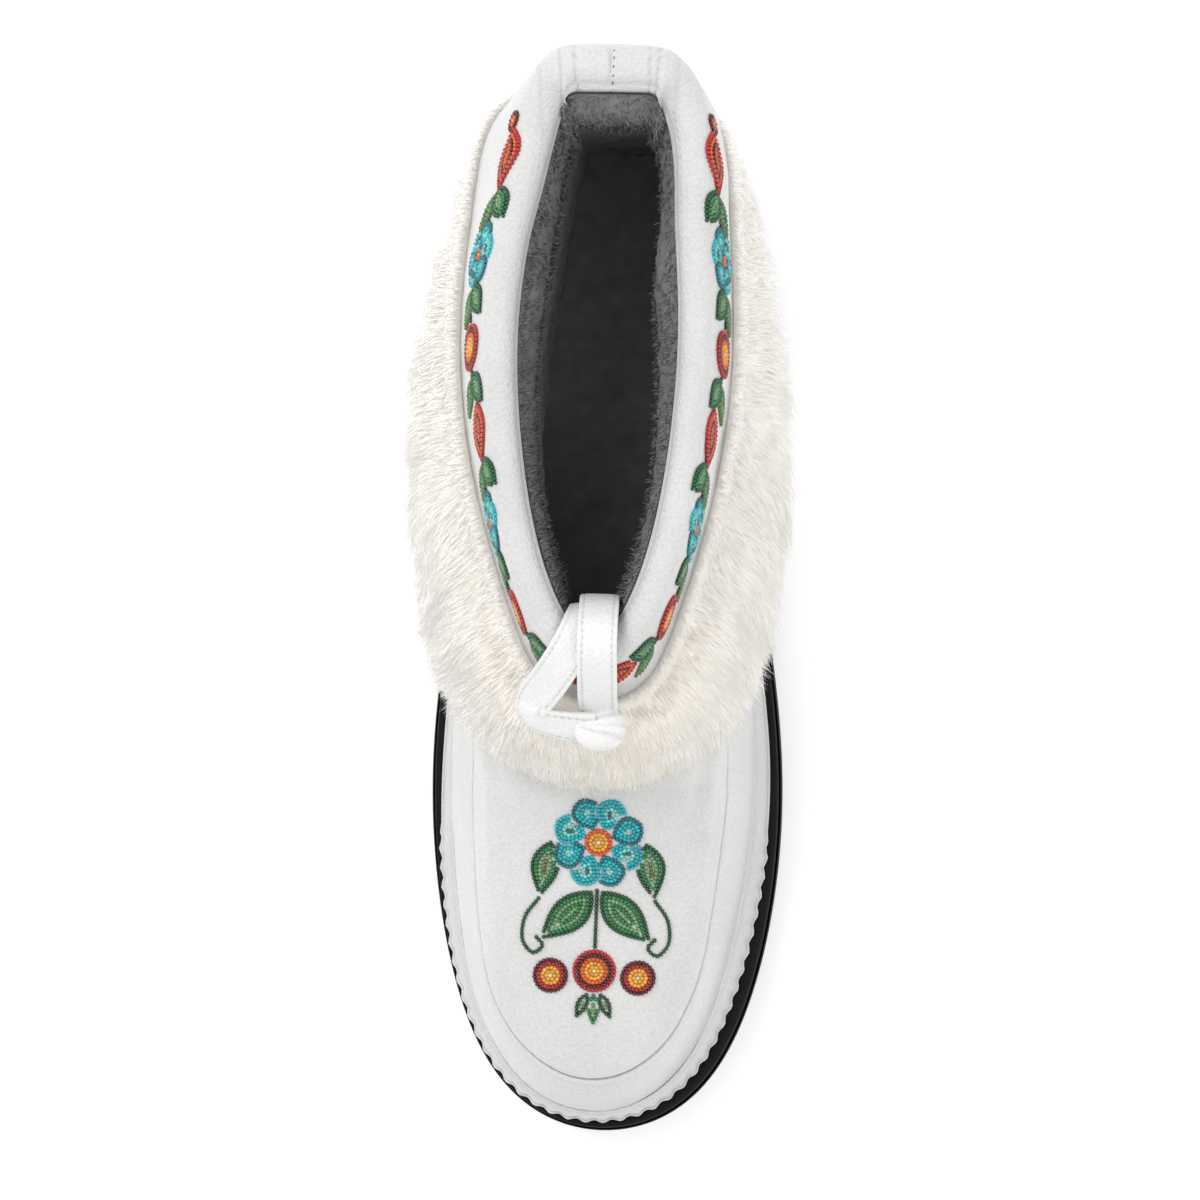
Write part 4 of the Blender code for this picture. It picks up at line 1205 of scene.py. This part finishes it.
def place_stitches(rows, thickness):
    """Stitches as small closed spindles: rows give centre, direction, outward way and length."""
    centre, run, out, length = rows
    side = np.cross(run, out)
    turns = even_angles(5)
    ends = ((-0.5, 0.0, -0.6), (-0.34, 0.8, -0.1), (0.0, 1.0, 0.35), (0.34, 0.8, -0.1), (0.5, 0.0, -0.6))
    blocks = []
    for share, wide, lift in ends:
        middle = centre + run * (share * length)[:, None] + out * lift * thickness
        if wide == 0.0:
            blocks.append(middle[:, None])
            continue
        ring = side[:, None] * np.cos(turns)[None, :, None] + out[:, None] * np.sin(turns)[None, :, None]
        blocks.append(middle[:, None] + ring * wide * thickness / 2)
    points = np.concatenate(blocks, axis=1)
    spot = np.arange(5)
    after = (spot + 1) % 5
    fans = np.concatenate([np.stack([np.zeros(5, int), 1 + after, 1 + spot], -1),
                           np.stack([np.full(5, 16), 11 + spot, 11 + after], -1)])
    band = np.stack([1 + spot, 1 + after, 6 + after, 6 + spot], -1)
    walls = np.concatenate([band, band + 5])
    first = 17 * np.arange(len(centre))[:, None, None]
    faces = [(first + walls[None]).reshape(-1, 4), (first + fans[None]).reshape(-1, 3)]
    return points.reshape(-1, 3), faces


def spaced(path, out, pitch, share):
    """Even places along a path: centre, direction, outward way and stitch length."""
    run = np.concatenate([[0.0], np.cumsum(np.linalg.norm(np.diff(path, axis=0), axis=1))])
    where = np.arange(pitch / 2, run[-1] - pitch / 2, pitch)
    centre = np.stack([np.interp(where, run, path[:, axis]) for axis in range(3)], axis=-1)
    ahead = np.stack([np.interp(where + 0.3 * MM, run, path[:, axis]) for axis in range(3)], axis=-1)
    way = np.stack([np.interp(where, run, out[:, axis]) for axis in range(3)], axis=-1)
    run_way = unit(ahead - centre)
    way = unit(way - run_way * (way * run_way).sum(axis=1, keepdims=True))
    return centre, run_way, way, np.full(len(where), pitch * share)


def stitch_row(name, path, out, pitch, share, thickness, material, tone=0.0):
    """One row of stitches as a piece of its own."""
    points, faces = place_stitches(spaced(path, out, pitch, share), thickness)
    return add_piece(name, points, faces, material, tones=np.full(len(points), tone))


def build_stitches(thread):
    """Stitch rows: in the toe seam, round the collar, down its back seam and along the tie's edges."""
    turn = np.linspace(0.53 * math.pi, 1.47 * math.pi, 900)
    level = seam_level(turn)
    out = upper_normal(turn, level)
    # The toe seam's stitches lie sunk in its groove and take painted shade through their tone.
    stitch_row("toe_seam_stitches", upper_surface(turn, level) - out * 0.66 * MM, out, 3.1 * MM, 0.78,
               0.34 * MM, thread, tone=0.6)
    for side, start, end in (("inner", 0.20, 0.93), ("outer", 1.07, 1.80)):
        turn = np.linspace(start * math.pi, end * math.pi, 900)
        place, way = collar_point(turn, roll_thickness(turn) / 2 * math.radians(122))
        stitch_row(f"collar_{side}_stitches", place + way * 0.02 * MM, way, 2.3 * MM,
                   0.66, 0.26 * MM, thread)
    height = np.linspace(0.30, 0.92, 200) * math.pi * roll_thickness(0.0) / 2
    place, way = collar_point(np.zeros(200), height)
    # The back seam's stitches take painted shade through their tone, as in the toe seam.
    stitch_row("back_seam_stitches", place - way * 0.10 * MM, way, 2.2 * MM, 0.6, 0.36 * MM, thread,
               tone=1.0)
    for name, route, steps in (("strap", STRAP_ROUTE, 160), ("loop", LOOP_ROUTE, 220)):
        path, across, face, _ = strap_frame(route, steps)
        for side, hand in ((-1, "left"), (1, "right")):
            for half, sign in (("front", 1), ("rear", -1)):
                line = path + across * side * 0.76 * STRAP_WIDTH / 2
                line = line + face * sign * 0.44 * STRAP_THICKNESS
                stitch_row(f"tie_{name}_{half}_{hand}_stitches", line, face * sign,
                           1.9 * MM, 0.62, 0.22 * MM, thread)


# Beadwork

PAINTS = {
    "turquoise": (0.01, 0.46, 0.52), "teal": (0.005, 0.17, 0.21), "aqua": (0.22, 0.68, 0.60),
    "deep_green": (0.006, 0.075, 0.022), "green": (0.02, 0.22, 0.06), "sage": (0.20, 0.36, 0.18),
    "olive": (0.14, 0.18, 0.03), "orange": (0.78, 0.11, 0.015), "red": (0.48, 0.015, 0.015),
    "maroon": (0.10, 0.004, 0.006), "amber": (0.88, 0.42, 0.03), "cream": (0.80, 0.74, 0.58),
}
BEAD_PITCH = 1.06


class Beads:
    """Bead places and paints in a flat drawing in millimetres; later beads keep off earlier ones."""

    def __init__(self):
        """Start with no beads."""
        self.places = []
        self.paints = []

    def row(self, line, paint, closed=True):
        """Beads at even steps along a line."""
        line = np.asarray(line, dtype=float)
        if closed:
            line = np.vstack([line, line[:1]])
        run = np.concatenate([[0.0], np.cumsum(np.linalg.norm(np.diff(line, axis=0), axis=1))])
        count = max(1, int(round(run[-1] / BEAD_PITCH)))
        where = np.linspace(0, run[-1], count + (0 if closed else 1), endpoint=not closed)
        spots = np.stack([np.interp(where, run, line[:, axis]) for axis in range(2)], axis=-1)
        for spot in spots:
            if self.places:
                if np.min(np.abs(np.array(self.places) - spot).max(axis=1)) < 0.72 * BEAD_PITCH:
                    near = np.linalg.norm(np.array(self.places) - spot, axis=1).min()
                    if near < 0.80 * BEAD_PITCH:
                        continue
            self.places.append(spot)
            self.paints.append(PAINTS[paint])

    def rosette(self, centre, paints):
        """Rings of beads from the outside in, with one bead in the middle."""
        for number, paint in enumerate(paints):
            radius = (len(paints) - number - 1) * BEAD_PITCH
            if radius == 0:
                self.row([centre], paint, closed=False)
                continue
            turn = even_angles(60)
            ring = radius * np.stack([np.cos(turn), np.sin(turn)], axis=-1)
            self.row(np.asarray(centre) + ring, paint)

    def leaf(self, base, way, length, width, paints, curve=0.0, swell=0.85, blunt=1.0):
        """Nested outlines of a leaf or petal, bent along its length.

        Half-widths follow a sine: swell moves its widest place and blunt below 1 rounds its ends. The
        middle line bends sideways by the curve times the square of the place along the length.
        """
        base = np.asarray(base, dtype=float)
        along = np.array([math.cos(math.radians(way)), math.sin(math.radians(way))])
        side = np.array([-along[1], along[0]])
        for number, paint in enumerate(paints):
            depth = number * BEAD_PITCH
            near, far = (depth, length - depth) if blunt < 1 else (1.25 * depth, length - 1.5 * depth)
            wide = width / 2 - depth
            if far - near < 0.8 or wide < 0.25:
                if far > near:
                    share = np.linspace(0, 1, 20)
                    place = near + (far - near) * share
                    bend = curve * (place / length) ** 2
                    self.row(base + place[:, None] * along + bend[:, None] * side, paint, False)
                break
            share = np.linspace(0, 1, 60)
            place = near + (far - near) * share
            half = wide * np.sin(math.pi * share ** swell) ** blunt
            bend = curve * (place / length) ** 2
            one = base + place[:, None] * along + (bend + half)[:, None] * side
            two = base + place[:, None] * along + (bend - half)[:, None] * side
            self.row(np.vstack([one, two[::-1]]), paint)

    def daisy(self, centre, count, reach, width, paints, others, middle):
        """Petals of two paint orders round a rosette."""
        self.rosette(centre, middle)
        start = len(middle) * BEAD_PITCH
        for step in range(count):
            way = 360.0 / count * (step + 0.5)
            turn = math.radians(way)
            base = (centre[0] + start * math.cos(turn), centre[1] + start * math.sin(turn))
            self.leaf(base, way, reach - start, width, paints if step % 2 else others, 0.0, 1.3, 0.65)

    def stem(self, points, paint):
        """One bead row along a soft curve through points."""
        rows = blend_rows(points, np.linspace(0, len(points) - 1, 60))
        self.row(rows, paint, closed=False)


def vamp_design():
    """Daisy, leaves, discs and curls drawn about the vamp's middle line: x across, y along the foot."""
    art = Beads()
    art.daisy((0.0, -62.5), 8, 12.0, 7.2, ("turquoise", "turquoise", "aqua", "teal"),
              ("teal", "turquoise", "turquoise", "aqua"), ("orange", "amber", "amber", "cream"))
    art.rosette((0.0, -97.0), ("red", "maroon", "orange", "amber", "amber", "cream"))
    art.stem(((0.0, -75.5), (0.0, -80.0), (0.0, -85.0), (0.0, -90.4)), "deep_green")
    for side in (-1, 1):
        art.leaf((side * 1.6, -76.0), -90 + side * 40, 17.5, 8.6,
                 ("deep_green", "green", "sage", "green", "sage"), side * 1.6)
        art.leaf((side * 12.6, -63.0), -90 + side * 14, 14.0, 6.8,
                 ("deep_green", "green", "sage", "olive"), -side * 1.0)
        art.rosette((side * 11.6, -98.6), ("maroon", "red", "amber", "amber", "cream"))
        art.stem(((side * 15.4, -78.0), (side * 18.8, -83.0), (side * 19.4, -89.0), (side * 16.6, -92.6),
                  (side * 13.9, -90.6), (side * 15.6, -88.4)), "deep_green")
        art.leaf((side * 1.9, -103.6), -90 + side * 24, 6.0, 2.4, ("deep_green", "sage"))
    art.leaf((0.0, -103.8), -90, 7.0, 2.6, ("green", "sage"))
    return np.array(art.places), np.array(art.paints)


def collar_design():
    """Running vine drawn flat: x is the way from the collar's back along its side, y is up its slope."""
    art = Beads()
    art.rosette((3.4, 0.6), ("maroon", "orange", "amber"))
    for number, place in enumerate((13.0, 36.0, 59.0, 82.0, 105.0, 128.0, 150.0)):
        height = 2.6 * math.sin(place / 11.0)
        if number % 3 == 0:
            art.leaf((place - 7.0, height), 0, 14.5, 8.0, ("red", "orange", "maroon", "orange"))
        elif number % 3 == 1:
            art.daisy((place, height), 6, 7.6, 6.4, ("turquoise", "aqua", "teal"),
                      ("teal", "turquoise", "aqua"), ("orange", "amber"))
        else:
            art.rosette((place, height), ("red", "maroon", "orange", "amber", "amber", "cream"))
        after = 2.6 * math.sin((place + 8.0) / 11.0)
        if number < 6:
            art.leaf((place + 7.6, after + 0.7), 30, 10.5, 5.6, ("deep_green", "green", "sage"), 0.8)
            art.leaf((place + 8.8, after - 0.7), -32, 9.5, 5.0, ("olive", "green", "sage"), -0.8)
    vine = [(place, 2.6 * math.sin(place / 11.0)) for place in np.arange(4.0, 150.0, 2.0)]
    art.row(vine, "deep_green", closed=False)
    return np.array(art.places), np.array(art.paints)


def on_vamp(plan):
    """Angles and levels of the skin under plan places: nearest of a coarse grid, then Newton steps."""
    turns = np.linspace(0.60 * math.pi, 1.40 * math.pi, 90)
    levels = np.linspace(2.0, 8.0, 80)
    grid_turn, grid_level = (item.ravel() for item in np.meshgrid(turns, levels))
    grid = upper_surface(grid_turn, grid_level)[:, :2]
    nearest = ((plan[:, None] - grid[None]) ** 2).sum(axis=-1).argmin(axis=1)
    turn, level = grid_turn[nearest], grid_level[nearest]
    for _ in range(8):
        here = upper_surface(turn, level)[:, :2]
        by_turn = (upper_surface(turn + 1e-4, level)[:, :2] - here) / 1e-4
        by_level = (upper_surface(turn, level + 1e-4)[:, :2] - here) / 1e-4
        away = plan - here
        scale = by_turn[:, 0] * by_level[:, 1] - by_turn[:, 1] * by_level[:, 0]
        turn = turn + (away[:, 0] * by_level[:, 1] - away[:, 1] * by_level[:, 0]) / scale
        level = level + (by_turn[:, 0] * away[:, 1] - by_turn[:, 1] * away[:, 0]) / scale
        level = np.clip(level, 1.5, 8.0)
    return turn, level


def on_collar(drawing, side):
    """Places and outward ways of a drawing that runs along one side of the collar."""
    dense = np.linspace(0.20 * math.pi, 0.985 * math.pi, 1500)
    path, _ = collar_point(dense if side > 0 else 2 * math.pi - dense, np.full(1500, -5.0 * MM))
    run = np.concatenate([[0.0], np.cumsum(np.linalg.norm(np.diff(path, axis=0), axis=1))])
    fold = np.interp(drawing[:, 0] * MM, run, dense)
    height = drawing[:, 1] - 1.5 - 4.5 * smooth(drawing[:, 0] / 35.0)
    return collar_point(fold if side > 0 else 2 * math.pi - fold, height * MM)


def bead_shape():
    """Small twenty-faced ball."""
    gold = (1 + math.sqrt(5)) / 2
    corners = unit(np.array([(a, b * gold, 0) for a in (-1, 1) for b in (-1, 1)]
                            + [(0, a, b * gold) for a in (-1, 1) for b in (-1, 1)]
                            + [(b * gold, 0, a) for a in (-1, 1) for b in (-1, 1)], dtype=float))
    apart = np.linalg.norm(corners[:, None] - corners[None], axis=-1)
    close = (apart > 0.1) & (apart < 1.1)
    faces = []
    for a in range(12):
        for b in range(a + 1, 12):
            for c in range(b + 1, 12):
                if close[a, b] and close[b, c] and close[a, c]:
                    way = np.dot(corners[a], np.cross(corners[b], corners[c]))
                    faces.append((a, b, c) if way > 0 else (a, c, b))
    return corners, np.array(faces)


def build_beads(name, place, out, paints, material):
    """Glass beads sewn down on the skin, sunk a little into it."""
    corners, faces = bead_shape()
    size = 0.62 * BEAD_PITCH * MM * rng.uniform(0.94, 1.04, len(place))
    points = (place + out * 0.42 * size[:, None])[:, None] + corners[None] * size[:, None, None]
    first = 12 * np.arange(len(place))[:, None, None]
    tint = np.clip(paints * rng.uniform(0.85, 1.12, (len(paints), 1)), 0, 1)
    colours = np.concatenate([np.repeat(tint, 12, axis=0), np.ones((12 * len(tint), 1))], axis=1)
    faces = [(first + faces[None]).reshape(-1, 3)]
    return add_piece(name, points, faces, material, colours=colours)


def build_beadwork(material):
    """The vamp's flower and the vine along both sides of the collar."""
    places, paints = vamp_design()
    plan = places * MM
    plan[:, 0] += centre_line(plan[:, 1]) + toe_shift(plan[:, 1]) + 0.0008
    turn, level = on_vamp(plan)
    out = upper_normal(turn, level)
    relief, _ = skin_relief(turn, level)
    build_beads("vamp_beads", upper_surface(turn, level) + out * relief[:, None], out, paints, material)
    places, paints = collar_design()
    for side, name in ((1, "collar_beads_inner"), (-1, "collar_beads_outer")):
        place, out = on_collar(places, side)
        build_beads(name, place, out, paints, material)


# Stage

def build_stage():
    """Pale floor, soft light from the upper left, and the camera above, a little to the big-toe side."""
    material, nodes, links, shader = new_material("pale_floor", (0.96, 0.96, 0.96), 0.9)
    cloud = texture(nodes, links, "ShaderNodeTexNoise", 2.0, Detail=1.0)
    colour = ramp(nodes, links, cloud.outputs["Fac"], (
        (0.3, (0.955, 0.955, 0.955)),
        (0.7, (0.965, 0.965, 0.965)),
    ))
    links.new(colour, shader.inputs["Base Color"])
    shader.inputs["Specular IOR Level"].default_value = 0.1
    shader.inputs["Emission Color"].default_value = (1.0, 1.0, 1.0, 1.0)
    shader.inputs["Emission Strength"].default_value = FLOOR_GLOW
    mesh = bpy.data.meshes.new("floor")
    half = 4.0
    corners = [(-half, -half, 0), (half, -half, 0), (half, half, 0), (-half, half, 0)]
    mesh.from_pydata(corners, [], [(0, 1, 2, 3)])
    floor = bpy.data.objects.new("floor", mesh)
    mesh.materials.append(material)
    bpy.context.collection.objects.link(floor)
    world = bpy.data.worlds.new("soft_room")
    bpy.context.scene.world = world
    world.use_nodes = True
    world.node_tree.nodes["Background"].inputs["Color"].default_value = (1.0, 1.0, 1.0, 1.0)
    world.node_tree.nodes["Background"].inputs["Strength"].default_value = 0.72
    for name, place, size, power in (
        ("key", (-0.75, 0.70, 1.35), 0.9, 12.0),
        ("fill", (0.9, -0.5, 1.3), 1.3, 6.5),
    ):
        light = bpy.data.lights.new(name, "AREA")
        light.size = size
        light.energy = power
        item = bpy.data.objects.new(name, light)
        item.location = place
        item.rotation_euler = (Vector((0, 0, 0.05)) - Vector(place)).to_track_quat("-Z", "Y").to_euler()
        bpy.context.collection.objects.link(item)
    place = Vector((0.0599, 0.0016, 1.5))
    aim = Vector((-0.0008, 0.0012, 0.040))
    forward = (aim - place).normalized()
    up = Vector((-0.0279, 1.0, 0.0))
    right = forward.cross(up).normalized()
    up = right.cross(forward)
    camera = bpy.data.cameras.new("camera")
    camera.lens = 163.0
    camera.sensor_width = 36.0
    camera.clip_end = 20.0
    item = bpy.data.objects.new("camera", camera)
    item.matrix_world = Matrix((right, up, -forward)).transposed().to_4x4()
    item.location = place
    bpy.context.collection.objects.link(item)
    bpy.context.scene.camera = item
    bpy.context.scene.view_settings.view_transform = "Standard"


leather = make_leather("white_leather", 1150.0, (0.10, 0.10, 0.10), 1.0)
wrap = make_leather("wrap_leather", 1250.0, (0.16, 0.16, 0.16), 1.0)
tie = make_leather("tie_leather", 1500.0, (0.20, 0.20, 0.20), 1.26)
rubber = make_rubber()
plush = make_pile("dark_plush", (0.031, 0.031, 0.032), (0.45, 0.45, 0.455), 0.9, 260.0, 0.80, 0.0)
fur = make_pile("cream_fur", (0.92, 0.86, 0.76), (0.97, 0.96, 0.94), 0.75, 160.0, 0.97, FUR_GLOW)
beads = make_beads()
thread = make_thread()

build_outsole(rubber)
build_midsole(wrap)
build_upper(leather)
build_lining(plush)
build_pile(plush)
build_insole(plush)
build_fur_body(fur)
build_fur_hairs(fur)
build_strap("tie_long_strap", STRAP_ROUTE, tie, "tie_strap", 160)
build_strap("tie_folded_loop", LOOP_ROUTE, tie, "tie_loop", 220)
build_knot(tie)
build_stitches(thread)
build_beadwork(beads)
build_stage()
